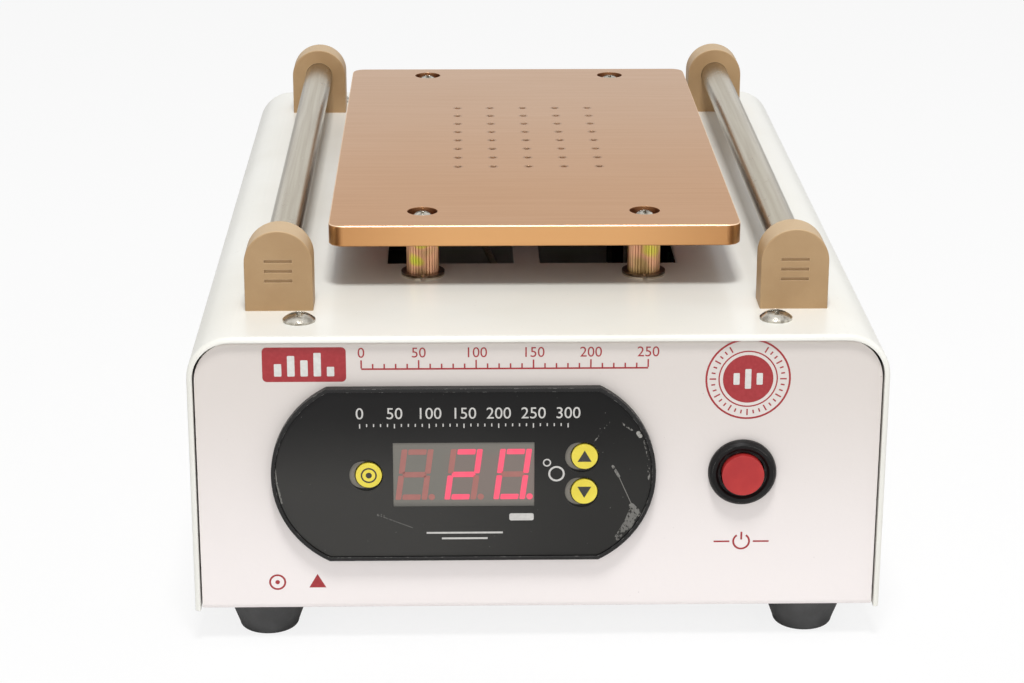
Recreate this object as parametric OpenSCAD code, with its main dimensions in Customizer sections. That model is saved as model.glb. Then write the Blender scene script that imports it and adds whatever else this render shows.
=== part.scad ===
// Heated vacuum plate that softens the glue of a phone screen and holds it while it is lifted off.
// Millimetres, +Z up, the front panel looks along -Y. The origin is under the middle of the whole
// machine, on the surface that it stands on. Inside the modules y is counted from the front
// panel's face, and from_front() moves each piece to its place.

/* [Case] */
// Outer width of the cover
case_w = 182; // [174:1:240]
// Depth from the front panel's face to the rear panel's face
case_d = 272; // [266:1:340]
// Height from the floor's underside to the top of the cover
case_h = 76.5; // [74:0.5:110]
// Outer radius of the cover's two long corners
corner_r = 11.5; // [6:0.5:16]
// Thickness of the cover's sheet
cover_t = 1.5; // [1:0.1:2.5]
// How far the cover's rims stand out past the panels
rim_overhang = 1; // [0.5:0.1:3]
// Gap between the cover's sides and the chassis
side_gap = 0.45; // [0.2:0.05:1]
// Thickness of the chassis sheet
chassis_t = 1.2; // [0.8:0.1:2]
// Radius at the two top corners of the front and rear panels
panel_corner_r = 10.6; // [8:0.2:14]
// Width of the flanges that the cover is screwed to
flange_d = 20; // [18:1:21]
// Front edge of the two windows in the cover, from the front panel
window_front = 63; // [60:1:80]
// Length of the windows
window_l = 118; // [80:1:125]
// Width over both windows and the rib between them
window_span = 81.2; // [60:0.2:100]
// Width of the rib between the windows
rib_w = 7.2; // [4:0.2:12]

/* [Feet] */
// Height of a foot
foot_h = 9.5; // [8:0.5:16]
// Diameter of a foot where it meets the floor of the case
foot_top_d = 22; // [16:0.2:24]
// Diameter of a foot where its bottom edge starts to round
foot_low_d = 16; // [13:0.2:18]
// Distance of the feet from the cover's sides
foot_inset_x = 18.7; // [14:0.1:30]
// Distance of the feet from the panels
foot_inset_y = 12; // [12:0.5:20]

/* [Rods and end caps] */
// Distance between the axes of the two rods
rod_spacing = 136.2; // [130:0.2:150]
// Diameter of a rod
rod_d = 9; // [6:0.2:11]
// Width of an end cap
cap_w = 18; // [14:0.1:20]
// Height of an end cap above the cover
cap_h = 21.9; // [18:0.1:28]
// Thickness of an end cap along the rod
cap_d = 10; // [9:0.5:14]
// Distance of the end caps' outer faces from the panels
cap_inset = 21; // [20:0.5:28]
// Depth of the socket that a rod sits in
socket_depth = 6.5; // [4:0.5:8]
// Rounding on the end caps' edges
cap_edge_r = 0.4; // [0.2:0.1:2]

/* [Hot plate] */
// Width of the hot plate
plate_w = 111.5; // [100:0.5:116]
// Length of the hot plate
plate_l = 190; // [184:1:196]
// Thickness of the hot plate
plate_t = 5.8; // [5:0.1:8]
// Distance of the plate's front edge from the front panel
plate_front = 38.9; // [36:0.1:44]
// Clear height between the cover and the plate
plate_gap = 12.2; // [11:0.1:20]
// Corner radius of the plate in plan
plate_corner_r = 4; // [2:0.5:8]
// Chamfer on the plate's edges
plate_chamfer = 0.3; // [0.2:0.1:1]
// Distance between the plate screws across the plate
plate_screw_x = 61; // [50:0.5:80]
// Distance between the plate screws along the plate
plate_screw_y = 166; // [160:0.5:168]
// Distance of the front plate screws from the plate's front edge
plate_screw_front = 14.5; // [10:0.5:16]
// Diameter of the counterbores for the plate screws
counterbore_d = 8.4; // [6.4:0.2:10]
// Depth of the counterbores
counterbore_depth = 2.3; // [2.3:0.1:3.4]
// Diameter of a suction hole
hole_d = 2; // [1:0.1:3]
// Distance between suction holes, both ways
hole_pitch = 10.3; // [8:0.1:10.6]
// Number of suction holes across the plate
hole_columns = 5; // [3:1:5]
// Number of suction holes along the plate
hole_rows = 8; // [4:1:8]
// Distance of the middle of the suction holes from the plate's front edge
hole_middle = 97.8; // [90:0.2:104]
// Diameter of a plate standoff
standoff_d = 9; // [8:0.1:11]
// Outer diameter of the spring washer under a standoff
washer_d = 12; // [11:0.1:14]
// Thickness of the spring washer
washer_t = 1.1; // [1:0.1:2.5]

/* [Controller] */
// Width of the controller's bezel
bezel_w = 100.4; // [94:0.2:104]
// Height of the bezel
bezel_h = 48.1; // [44:0.1:52]
// Radius of the bezel's two round ends
bezel_arc_r = 26.9; // [26.5:0.1:40]
// Place of the bezel's middle across the front panel
bezel_x = -19.6; // [-26:0.1:-18]
// Height of the bezel's middle above the floor's underside
bezel_rise = 38.75; // [34:0.05:42]
// How far the bezel stands out of the front panel
bezel_proud = 2.2; // [1.6:0.1:3]
// Width of the raised rim round the bezel
bezel_rim_w = 1; // [0.6:0.1:2]
// Width of the display
display_w = 36.3; // [30:0.1:40]
// Height of the display
display_h = 17.3; // [16:0.1:20]
// Diameter of the three small buttons
button_d = 6.8; // [5:0.1:7.4]
// Travel of the three small buttons
button_travel = 0.5; // [0.2:0.1:1]
// Distance of the set button from the bezel's middle
set_button_x = -24.75; // [-27:0.05:-24.5]
// Distance of the up and down buttons from the bezel's middle
step_button_x = 31.5; // [28:0.1:33]
// Distance between the up and down buttons
step_button_pitch = 9.8; // [9.5:0.1:14]

/* [Start switch] */
// Place of the start switch across the front panel
switch_x = 53.3; // [48:0.1:70]
// Height of the start switch above the floor's underside
switch_rise = 38.6; // [30:0.1:44]
// Diameter of the switch's bezel
switch_d = 17.9; // [17.5:0.1:24]
// Diameter of the threaded barrel behind the bezel
barrel_d = 15.8; // [15:0.1:16.5]
// Diameter of the red start button
start_d = 11; // [10:0.1:11.4]
// How far the start button stands out of the front panel
start_proud = 3.2; // [3:0.1:5]
// Travel of the start button
start_travel = 2.5; // [1:0.1:2.8]

/* [Mains inlet] */
// Place of the inlet's middle across the rear panel
inlet_x = 48; // [38:0.5:58]
// Height of the inlet's middle above the floor's underside
inlet_rise = 39.5; // [37:0.5:42]
// Width of the inlet's flange
inlet_w = 32; // [31:0.5:36]
// Height of the inlet's flange
inlet_h = 58; // [57:0.5:62]
// Distance between the two inlet screws
inlet_screw_pitch = 40; // [38:0.5:46]
// Tilt of the power rocker each way
rocker_tilt = 9; // [5:0.5:12]

/* [Pump] */
// Place of the pump's shaft across the case
pump_x = -46; // [-50:1:-40]
// Distance of the pump motor's rear end from the front panel
pump_start = 112; // [108:1:130]
// Diameter of the pump's motor
motor_d = 28; // [24:0.5:30]
// Length of the pump's motor
motor_l = 40; // [30:1:50]
// Throw of the pump's eccentric
crank_throw = 1.2; // [0.6:0.1:1.5]

/* [Supply board] */
// Width of the supply board
board_w = 58; // [54:1:66]
// Length of the supply board
board_l = 104; // [100:1:108]
// Thickness of both circuit boards
board_t = 1.6; // [1:0.1:2.4]
// Height of the supply board above the floor
board_lift = 8.5; // [6:0.5:12]
// Distance of the supply board from the cover's right side
board_side = 12; // [10:0.5:14]
// Distance of the supply board from the rear panel
board_rear = 42; // [41:0.5:46]

/* [Fits] */
// Gap round a button in its hole
button_gap = 0.3; // [0.15:0.05:0.4]
// Gap between a piece and the cut-out that it drops into
cutout_gap = 0.3; // [0.1:0.05:0.6]
// Gap round a thread
thread_gap = 0.03; // [0.01:0.01:0.1]
// Running gap round a shaft
running_gap = 0.05; // [0.02:0.01:0.1]

/* [Hidden] */
$fn = 48;

// How far cuts run past the faces that they cut, and how far shapes of one solid run together
overrun = 1;
merge = 0.4;

// Case
rim_r_share = 0.8;
rim_r = cover_t * rim_r_share;
floor_top = foot_h + chassis_t;
case_top = foot_h + case_h;
cover_low = case_top - cover_t;
panel_w = case_w - 2 * cover_t - 2 * side_gap;
panel_h = case_h - cover_t;
bend_inner_r = 0.4;
lip_h = 9;
rib_x = -1.5;
vent_w = 3;
vent_l = 34;
vent_pitch = 7;
vent_count = 7;
floor_vent_inset = 51;
floor_vent_x = case_w / 2 - floor_vent_inset;
floor_vent_y = 40;
rear_vent_x = pump_x;
rear_vent_rise = 44.5;
front_reach = start_proud;
drawer_lip = 3;
inlet_flange_t = 3;
rear_reach = inlet_flange_t + drawer_lip;
front_y = (front_reach - rear_reach - case_d) / 2;

// Screws: diameter, head diameter and head height
m3 = [3, 5.6, 2.1];
m4 = [4, 7.4, 2.6];
cover_screw = [4, 8.6, 2.3];
plate_screw = [3, 6.2, 2.3];
m3_hole_d = 3.4;
m4_hole_d = 4.5;
nut_m4_af = 7;
nut_m4_h = 3.2;
nut_m3_af = 5.5;
nut_m3_h = 2.4;
tapped_depth = 4;
recess_depth_share = 0.55;
recess_arm_share = 0.55;
recess_slot_share = 0.14;
head_rim_share = 0.25;

// Feet and cover screws
foot_round_r = 1.4;
foot_recess_d = 7.8;
foot_recess_h = 4.5;
foot_x = case_w / 2 - foot_inset_x;
foot_places = [for (x = [-foot_x, foot_x]) for (y = [foot_inset_y, case_d - foot_inset_y]) [x, y]];
cover_screw_inset_x = 28.6;
cover_screw_inset_y = 12.8;
cover_screw_x = case_w / 2 - cover_screw_inset_x;
cover_screw_places = [for (x = [-cover_screw_x, cover_screw_x])
  for (y = [cover_screw_inset_y, case_d - cover_screw_inset_y]) [x, y]];

// Rods and end caps
rod_x = rod_spacing / 2;
rod_rise = cap_h - cap_w / 2;
rod_end_gap = 0.2;
rod_start = cap_inset + cap_d - socket_depth + rod_end_gap;
cap_middle = cap_inset + cap_d / 2;
cap_places = [for (x = [-rod_x, rod_x]) for (y = [cap_middle, case_d - cap_middle]) [x, y]];
cap_thread_depth = 6;
cap_groove_l = 7.4;
cap_groove_h = 0.9;
cap_groove_depth = 0.5;
cap_groove_pitch = 2.7;

// Hot plate and what hangs under it
plate_low = case_top + plate_gap;
plate_top = plate_low + plate_t;
plate_y = plate_front + plate_l / 2;
hole_y = plate_front + hole_middle;
plate_screw_places = [for (x = [-plate_screw_x / 2, plate_screw_x / 2])
  for (y = [0, plate_screw_y]) [x, plate_front + plate_screw_front + y]];
standoff_h = plate_gap - washer_t;
standoff_bore_depth = 8;
stud_d = 6;
stud_nut_af = 10;
stud_nut_h = 5;
knurl_count = 32;
knurl_depth = 0.28;
washer_bore_d = 6.4;
washer_split = 1;
gasket_t = 1;
manifold_wall = 2;
manifold_margin = 3.4;
manifold_ear = 7;
manifold_flange_t = 2;
manifold_depth = 3.5;
cavity_w = hole_pitch * (hole_columns - 1) + hole_d + 2 * manifold_margin;
cavity_l = hole_pitch * (hole_rows - 1) + hole_d + 2 * manifold_margin;
manifold_w = cavity_w + 2 * manifold_wall;
manifold_l = cavity_l + 2 * manifold_wall;
manifold_full_w = manifold_w + 2 * manifold_ear;
manifold_top = plate_low - gasket_t;
manifold_low = manifold_top - manifold_depth - manifold_wall;
manifold_screw_x = (manifold_w + manifold_ear) / 2;
manifold_screw_y = manifold_l / 2 - manifold_ear;
manifold_screw_places = [for (x = [-manifold_screw_x, manifold_screw_x])
  for (y = [hole_y - manifold_screw_y, hole_y + manifold_screw_y]) [x, y]];
spigot_x = 20;
spigot_d = 5;
spigot_bore_d = 3;
spigot_l = 9;
barb_d = 5.8;
barb_h = 1.6;
heater_t = 1.5;
heater_side_inset = 6.75;
heater_w = plate_w - 2 * heater_side_inset;
heater_front_inset = 24;
heater_rear_inset = 18;
heater_gap = 1;
heater_l = plate_l - heater_front_inset - heater_rear_inset;
sensor_behind = 17;
sensor_y = hole_y + manifold_l / 2 + sensor_behind;
sensor_x = -22;
sensor_lug_d = 8;
sensor_lug_t = 1;
sensor_sleeve_d = 3.6;
sensor_sleeve_l = 10;
cutout_x = 22;
cutout_d = 15.6;
cutout_cap_h = 3.5;
cutout_body_d = 13.6;
cutout_body_h = 4;
cutout_tab = [6, 6.3, 0.8];

// Controller
bezel_z = foot_h + bezel_rise;
bezel_seat = 0.5;
overlay_t = 0.4;
overlay_edge_gap = 0.15;
overlay_hole_gap = 0.7;
overlay_hole_shift = -0.7;
bezel_plate_t = 2;
bezel_inset = 3;
bezel_wall = 1.6;
bezel_body_d = 17;
nub = [8, 2, 1];
nub_x = 20;
bezel_face = bezel_seat + overlay_t - bezel_proud;
bezel_back = bezel_face + bezel_plate_t;
post_d = 6;
post_x = 37;
post_z = 13;
post_places = [for (x = [-post_x, post_x]) for (z = [-post_z, post_z]) [x, z]];
controller_board_y = 11.5;
controller_screw_l = 5;
display_depth = 8;
display_pin_d = 0.5;
display_pin_count = 6;
display_pin_pitch = 2.54;
display_pin_row = 15.24;
button_proud = 0.15;
button_flange_t = 0.8;
button_flange_extra = 1;
button_stem_d = 3;
rest_gap = 0.05;
tact_w = 6;
tact_h = 3.5;
tact_plunger_d = 3.4;
tact_plunger_h = 1.5;
tact_front = controller_board_y - tact_h - tact_plunger_h;
button_places = [
  [set_button_x, 0], [step_button_x, step_button_pitch / 2], [step_button_x, -step_button_pitch / 2]
];

// Start switch. The dome's points are shares of its width and height
switch_z = foot_h + switch_rise;
switch_rim_t = 1;
switch_dome = 2.3;
switch_dish = 1.4;
switch_lip_t = 0.6;
switch_slope_w = 1.9;
dome_edge_share = [0.2, 0.8];
dome_top_share = 0.5;
dome_inner_share = 0.9;
switch_depth = 24;
start_wall = 1.6;
start_l = 11;
start_floor_gap = 2.7;
switch_bore_depth = start_l - start_proud + start_travel + start_floor_gap;
spring_wire_d = 0.8;
spring_turns = 6;
spring_d = 6.4;
spring_gap = 0.1;
start_nut_af = 20;
start_nut_h = 3;
switch_tab = [2.8, 8, 0.8];
switch_tab_pitch = 7;

// Mains inlet, heights counted from its middle
inlet_z = foot_h + inlet_rise;
inlet_corner_r = 3;
inlet_body_w = 28;
inlet_body_h = 53;
inlet_body_d = 24;
inlet_ear_h = 12;
inlet_ear_w = 10;
socket_w = 24.4;
socket_h = 16.8;
socket_corner = 4;
socket_drop = 16;
socket_depth_in = 20;
pin_w = 2;
pin_h = 4;
pin_l = 15.5;
pin_pitch = 14;
pin_drop = 2;
pin_tab = [0.8, 9, 6.3];
pin_places = [[-pin_pitch / 2, -pin_drop], [0, pin_drop], [pin_pitch / 2, -pin_drop]];
drawer_drop = 0.8;
drawer_w = 23;
drawer_h = 7;
drawer_l = 12;
drawer_lip_extra = 1;
drawer_slot_l = 14;
fuse_d = 5.2;
fuse_l = 20;
fuse_cap_l = 5.5;
fuse_gap = 0.2;
rocker_rise = 15;
rocker_w = 19;
rocker_r = 9.2;
rocker_end = 2.4;
rocker_dip = 0.9;
rocker_gap = 0.35;
rocker_sink = 1.4;
rocker_axle_d = 2.6;
rocker_axle_l = 1.4;

// Pump
pump_lift = 17.5;
pump_z = floor_top + pump_lift;
shaft_d = 3;
shaft_inside = 22;
crank_w = 32;
crank_l = 28;
crank_drop = 14;
crank_rise = 20;
crank_wall = 3;
crank_bore_d = 26;
crank_port_d = 20;
shaft_hole_d = 6;
weight_d = 18;
weight_t = 4;
crank_pin_d = 4;
crank_pin_l = 9;
rod_eye_wall = 2.4;
rod_eye_t = 6;
rod_eye_gap = 0.35;
rod_eye_d = crank_pin_d + 2 * crank_throw + 2 * rod_eye_gap;
rod_stem_w = 6;
piston_d = 14;
piston_t = 3;
diaphragm_t = 2;
head_h = 13;
head_chamber_d = 18;
head_chamber_h = 2.5;
port_x = 7;
port_l = 9;
crank_start = pump_start + motor_l;
crank_middle = crank_start + crank_l / 2;
crank_top = pump_z + crank_rise;
head_low = crank_top + diaphragm_t;
head_top = head_low + head_h;
head_screw_inset = 3.4;
head_screw_depth = 7;
head_screw_places = [for (x = [-1, 1]) for (y = [-1, 1]) [
  pump_x + x * (crank_w / 2 - head_screw_inset), crank_middle + y * (crank_l / 2 - head_screw_inset)
]];
strap_t = 2;
strap_w = 14;
strap_leg_w = 12;
bracket_t = 2;
bracket_w = 56;
bracket_screw_x = 23;
bracket_y = pump_start + motor_l / 2;
bushing_d = 9;
bushing_h = 2.5;

// Supply board. Places on it are counted from its middle, behind values from its front edge
board_x = case_w / 2 - board_side - board_w / 2;
board_start = case_d - board_rear - board_l;
board_y = board_start + board_l / 2;
board_low = floor_top + board_lift;
board_top = board_low + board_t;
board_hole_inset = 4;
board_hole_d = 3.4;
spacer_d = 6;
spacer_tip_h = 1.6;
spacer_places = [for (x = [-1, 1]) for (y = [-1, 1]) [
  board_x + x * (board_w / 2 - board_hole_inset), board_y + y * (board_l / 2 - board_hole_inset)
]];
transformer = [26, 22, 20];
transformer_behind = 28;
transformer_place = [-10, transformer_behind - board_l / 2];
bobbin_extra = 3;
bobbin_h = 11;
capacitor_d = 18;
capacitor_h = 32;
capacitor_behind = 24;
capacitor_place = [16, capacitor_behind - board_l / 2];
capacitor_groove_r = 0.6;
capacitor_groove_z = 2.4;
relay = [15.5, 19.5, 15.6];
relay_place = [14, 12];
relay_corner_r = 1;
block_pole = 7.6;
block_poles = 6;
block_d = 11;
block_h = 14;
block_inset = 9;
block_screw_d = 3.2;

// Leads and the hose. Their middle points are chosen by hand, their ends follow the pieces. The
// control leads' places on the board are counted from its middle across and its front edge along
lead_d = 2.2;
lead_sides = 8;
lead_steps = 3;
lead_gap = 0.35;
lead_out = 4;
hose_d = 8;
hose_bore_d = 5;
hose_sides = 12;
hose_steps = 4;
hose_grip = 6;
motor_lead_x = 9;
hose_points = [[15, 141, 76], [-4, 149, 73], [-22, 158, 74], [-33, 164, 77]];
sensor_points = [
  [-26, 214, 92], [-30, 206, 91], [-30, 190, 91], [-27, 178, 89], [-24, 173, 81], [-18, 176, 70],
  [-12, 174, 58], [-6, 150, 50], [-6, 100, 50], [-30, 50, 54], [-50, 28, 56]
];
cutout_points = [[40, 190, 92], [36, 178, 90], [34, 170, 80], [38, 178, 64], [46, 196, 40]];
heater_points = [[35, 143, 82], [33, 152, 68], [34, 169, 48], [36, 176, 32]];
switch_points = [
  [[52, 46, 40], [74, 58, 24], [80, 76, 14], [80, 104, 14], [70, 120, 20], [66, 131, 29]],
  [[60, 46, 40], [80, 54, 24], [84, 72, 14], [84, 104, 14], [76, 120, 20], [70, 132, 29]]
];
motor_points = [
  [[-54, 104, 26], [-40, 98, 14], [-10, 98, 14], [16, 106, 14], [28, 118, 20], [32, 130, 29]],
  [[-35, 105, 25], [-28, 103, 18], [-10, 103, 14], [12, 110, 14], [22, 120, 20], [27, 131, 29]]
];
controller_points = [
  [[-10, 24, 38], [0, 44, 20], [10, 70, 14], [24, 96, 14], [38, 118, 20], [44, 130, 29]],
  [[-4, 24, 38], [6, 44, 20], [16, 70, 14], [30, 96, 14], [44, 116, 20], [50, 129, 29]]
];
heater_lead_place = [36, 141];
board_lead_places = [[-4, 22], [-14, -2]];
sensor_lead_place = [-31, 6];
controller_lead_places = [[9, -8], [15, -8]];
control_lead_places = [[16, 10], [21, 11], [-17, 10], [-23, 11], [-5, 10], [1, 10]];

// Extrudes a flat outline, drawn in x and z, from y = 0 to y = depth
module along_y(depth) {
  translate([0, depth, 0]) rotate([90, 0, 0]) linear_extrude(height = depth) children();
}

// Extrudes a flat outline, drawn in y and z, over a length centred on x = 0
module along_x(length) {
  translate([-length / 2, 0, 0]) rotate([90, 0, 90]) linear_extrude(height = length) children();
}

// Moves a piece drawn from the front panel's face to its place in the machine
module from_front() {
  translate([0, front_y, 0]) children();
}

// Stands a copy of a piece at each place, on the height z
module at_places(places, z) {
  for (p = places) translate([p[0], p[1], z]) children();
}

// A round bar along +Y, and round cuts that run past both ends of their depth
module bar_y(at, d, length) {
  translate(at) rotate([-90, 0, 0]) cylinder(d = d, h = length);
}

module cut_y(at, d, depth) {
  bar_y([at[0], at[1] - overrun, at[2]], d, depth + 2 * overrun);
}

module cut_z(d, depth) {
  translate([0, 0, -overrun]) cylinder(d = d, h = depth + 2 * overrun);
}

// Flat outline: straight sides, a flat foot at y = 0 and two round top corners
module arch_outline(w, h, r) {
  translate([-w / 2, 0]) square([w, h - r]);
  translate([r - w / 2, 0]) square([w - 2 * r, h]);
  for (side = [-1, 1]) translate([side * (w / 2 - r), h - r]) circle(r = r);
}

// Flat rectangle with four round corners, centred
module round_rect(w, l, r) {
  square([w - 2 * r, l], center = true);
  square([w, l - 2 * r], center = true);
  for (x = [-1, 1]) for (y = [-1, 1]) translate([x * (w / 2 - r), y * (l / 2 - r)]) circle(r = r);
}

// Flat slot with two round ends, centred, its length along x
module slot_outline(l, w) {
  square([l - w, w], center = true);
  for (side = [-1, 1]) translate([side * (l - w) / 2, 0]) circle(d = w);
}

// Half of a bar's section, from its middle to two corners that are rounded by e
module half_section(r, d, e) {
  square([r - e, d]);
  translate([0, e]) square([r, d - 2 * e]);
  for (y = [e, d - e]) translate([r - e, y]) circle(r = e);
}

// Block of depth d with an arch's outline, its front and rear edges rounded by e
module rounded_arch(w, h, d, r, e) {
  linear_extrude(height = h - r) translate([0, d / 2]) round_rect(w, d, e);
  for (side = [0, 1])
    mirror([side, 0, 0]) translate([w / 2 - r, d, h - r]) rotate([90, 0, 0])
      rotate_extrude(angle = 90) half_section(r, d, e);
  if (w > 2 * r)
    translate([w / 2 - r, 0, h - r]) rotate([0, -90, 0])
      linear_extrude(height = w - 2 * r) half_section(r, d, e);
}

// One chamfered layer of a round-cornered plate, wide at the bottom
module chamfer_layer(w, l, r, c) {
  rotate([90, 0, 90]) linear_extrude(height = w - 2 * r, center = true)
    polygon([[-l / 2, 0], [l / 2, 0], [l / 2 - c, c], [c - l / 2, c]]);
  rotate([90, 0, 0]) linear_extrude(height = l - 2 * r, center = true)
    polygon([[-w / 2, 0], [w / 2, 0], [w / 2 - c, c], [c - w / 2, c]]);
  for (x = [-1, 1]) for (y = [-1, 1])
    translate([x * (w / 2 - r), y * (l / 2 - r), 0]) cylinder(r1 = r, r2 = r - c, h = c);
}

// Domed screw with a cross recess, its head's underside at z = 0 and its shank pointing down
module pan_screw(size, length) {
  head_r = size[1] / 2;
  rim_h = size[2] * head_rim_share;
  dome_h = size[2] - rim_h;
  dome_r = (pow(head_r, 2) + pow(dome_h, 2)) / (2 * dome_h);
  arm = size[1] * recess_arm_share;
  slot = size[1] * recess_slot_share;
  deep = size[2] * recess_depth_share;
  difference() {
    union() {
      cylinder(r = head_r, h = rim_h);
      intersection() {
        translate([0, 0, size[2] - dome_r]) sphere(r = dome_r);
        translate([0, 0, rim_h / 2]) cylinder(r = head_r, h = size[2]);
      }
      translate([0, 0, -length]) cylinder(d = size[0], h = length + rim_h / 2);
    }
    for (turn = [0, 90])
      translate([0, 0, size[2] + (overrun - deep) / 2]) rotate([0, 0, turn])
        cube([arm, slot, deep + overrun], center = true);
  }
}

// Six-sided nut standing on z = 0
module hex_nut(af, h, bolt_d) {
  difference() {
    cylinder(d = af / cos(30), h = h, $fn = 6);
    cut_z(bolt_d + 2 * thread_gap, h);
  }
}

// Spigot with a barb at its tip, standing on z = 0
module spigot(length) {
  cylinder(d = spigot_d, h = length);
  translate([0, 0, length - 2 * barb_h]) cylinder(d1 = barb_d, d2 = spigot_d, h = barb_h);
}

function unit(v) = v / norm(v);

// A smooth curve through a route's points, with a few steps on each stretch
function curve_point(a, b, c, d, t) =
  (2 * b + (c - a) * t + (2 * a - 5 * b + 4 * c - d) * t * t + (3 * b - a - 3 * c + d) * t * t * t) / 2;
function smooth_route(p, steps) = concat([for (i = [0 : len(p) - 2]) for (s = [0 : steps - 1])
  curve_point(p[max(i - 1, 0)], p[i], p[i + 1], p[min(i + 2, len(p) - 1)], s / steps)],
  [p[len(p) - 1]]);
function heading(path, i) = unit(path[min(i + 1, len(path) - 1)] - path[max(i - 1, 0)]);
function first_side(t) = unit(cross(t, abs(t[2]) < norm(t) / 2 ? [0, 0, 1] : [1, 0, 0]));
function square_to(n, t) = unit(n - (n * t) * t);

// One vector square to the path at each point, each turned as little as can be from the last
function side_vectors(path) = [
  for (i = 0, n = first_side(heading(path, 0)); i < len(path);
    i = i + 1, n = i < len(path) ? square_to(n, heading(path, i)) : n) n
];

// Round tube of diameter d swept along a path
module swept_tube(path, d, sides) {
  across = side_vectors(path);
  rings = len(path);
  last = (rings - 1) * sides;
  points = [for (i = [0 : rings - 1]) for (k = [0 : sides - 1])
    path[i] + d / 2 * (cos(360 * k / sides) * across[i]
      + sin(360 * k / sides) * cross(heading(path, i), across[i]))];
  wall = [for (i = [0 : sides : last - sides]) for (k = [0 : sides - 1]) let (n = (k + 1) % sides)
    each [[i + k, i + sides + n, i + n], [i + k, i + sides + k, i + sides + n]]];
  ends = [for (k = [1 : sides - 2]) each [[0, k, k + 1], [last, last + k + 1, last + k]]];
  polyhedron(points = points, faces = concat(wall, ends));
}

module lead(start, start_way, points, end_way, end) {
  route = concat([start, start + lead_out * start_way], points, [end + lead_out * end_way, end]);
  swept_tube(smooth_route(route, lead_steps), lead_d, lead_sides);
}

// Outline of the controller, a rectangle with two large round ends, made smaller by inset
module bezel_outline(inset) {
  w = bezel_w - 2 * inset;
  h = bezel_h - 2 * inset;
  r = bezel_arc_r - inset;
  intersection() {
    square([w, h], center = true);
    union() {
      for (side = [-1, 1]) translate([side * (w / 2 - r), 0]) circle(r = r);
      square([w - 2 * r, h], center = true);
    }
  }
}

// The folded sheet seen from the side, with a return flange at each end of its top
module folded_outline() {
  difference() {
    round_rect(case_d, panel_h, bend_inner_r + chassis_t);
    round_rect(case_d - 2 * chassis_t, panel_h - 2 * chassis_t, bend_inner_r);
    translate([flange_d - case_d / 2, panel_h / 2 - chassis_t - overrun])
      square([case_d - 2 * flange_d, chassis_t + 2 * overrun]);
  }
}

module vent_row() {
  for (i = [0 : vent_count - 1]) translate([0, i * vent_pitch]) slot_outline(vent_l, vent_w);
}

module chassis() {
  color("whitesmoke") from_front() difference() {
    union() {
      intersection() {
        translate([0, case_d / 2, foot_h + panel_h / 2]) along_x(panel_w) folded_outline();
        translate([0, -overrun, foot_h])
          along_y(case_d + 2 * overrun) arch_outline(panel_w, panel_h, panel_corner_r);
      }
      for (side = [-1, 1])
        translate([side * (panel_w - chassis_t) / 2, case_d / 2, foot_h + lip_h / 2])
          cube([chassis_t, case_d - 2 * flange_d, lip_h], center = true);
    }
    translate([bezel_x, -overrun, bezel_z])
      along_y(chassis_t + 2 * overrun) bezel_outline(bezel_inset - cutout_gap);
    cut_y([switch_x, 0, switch_z], barrel_d + 2 * cutout_gap, chassis_t);
    translate([0, case_d - chassis_t - overrun, 0]) along_y(chassis_t + 2 * overrun) {
      translate([inlet_x, inlet_z])
        square([inlet_body_w + 2 * cutout_gap, inlet_body_h + 2 * cutout_gap], center = true);
      translate([rear_vent_x - vent_pitch * (vent_count - 1) / 2, foot_h + rear_vent_rise])
        rotate([0, 0, -90]) vent_row();
    }
    for (side = [-1, 1])
      cut_y([inlet_x + side * inlet_screw_pitch / 2, case_d - chassis_t, inlet_z - socket_drop],
        m3_hole_d, chassis_t);
    at_places(foot_places, foot_h) cut_z(m4_hole_d, chassis_t);
    at_places(cover_screw_places, cover_low - chassis_t)
      cut_z(cover_screw[0] + 2 * thread_gap, chassis_t);
    at_places(spacer_places, foot_h) cut_z(board_hole_d, chassis_t);
    for (side = [-1, 1]) {
      translate([pump_x + side * bracket_screw_x, bracket_y, foot_h])
        cut_z(m3[0] + 2 * thread_gap, chassis_t);
      translate([side * floor_vent_x, floor_vent_y, foot_h - overrun])
        linear_extrude(height = chassis_t + 2 * overrun) vent_row();
    }
  }
}

module cover() {
  full_d = case_d + 2 * rim_overhang;
  color("ivory") from_front() difference() {
    translate([0, -rim_overhang, foot_h]) rounded_arch(case_w, case_h, full_d, corner_r, rim_r);
    translate([0, -rim_overhang - overrun, foot_h - overrun]) along_y(full_d + 2 * overrun)
      arch_outline(case_w - 2 * cover_t, panel_h + overrun, corner_r - cover_t);
    translate([0, window_front, cover_low - overrun]) linear_extrude(height = cover_t + 2 * overrun)
      difference() {
        translate([-window_span / 2, 0]) square([window_span, window_l]);
        translate([rib_x - rib_w / 2, -overrun]) square([rib_w, window_l + 2 * overrun]);
      }
    at_places(plate_screw_places, cover_low) cut_z(stud_d + 2 * cutout_gap, cover_t);
    at_places(concat(cap_places, cover_screw_places), cover_low) cut_z(m4_hole_d, cover_t);
  }
}

module feet() {
  low_r = foot_low_d / 2;
  color("dimgray") from_front() at_places(foot_places, 0) difference() {
    rotate_extrude() {
      polygon([[0, foot_round_r], [low_r, foot_round_r], [foot_top_d / 2, foot_h], [0, foot_h]]);
      square([low_r - foot_round_r, foot_h]);
      translate([low_r - foot_round_r, foot_round_r]) circle(r = foot_round_r);
    }
    translate([0, 0, -overrun]) cylinder(d = foot_recess_d, h = foot_recess_h + overrun);
    cut_z(m4_hole_d, foot_h);
  }
}

module foot_screws() {
  grip = foot_h - foot_recess_h + chassis_t + nut_m4_h + overrun;
  color("silver") from_front() at_places(foot_places, foot_recess_h)
    rotate([180, 0, 0]) pan_screw(m4, grip);
}

module foot_nuts() {
  color("silver") from_front() at_places(foot_places, floor_top) hex_nut(nut_m4_af, nut_m4_h, m4[0]);
}

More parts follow.
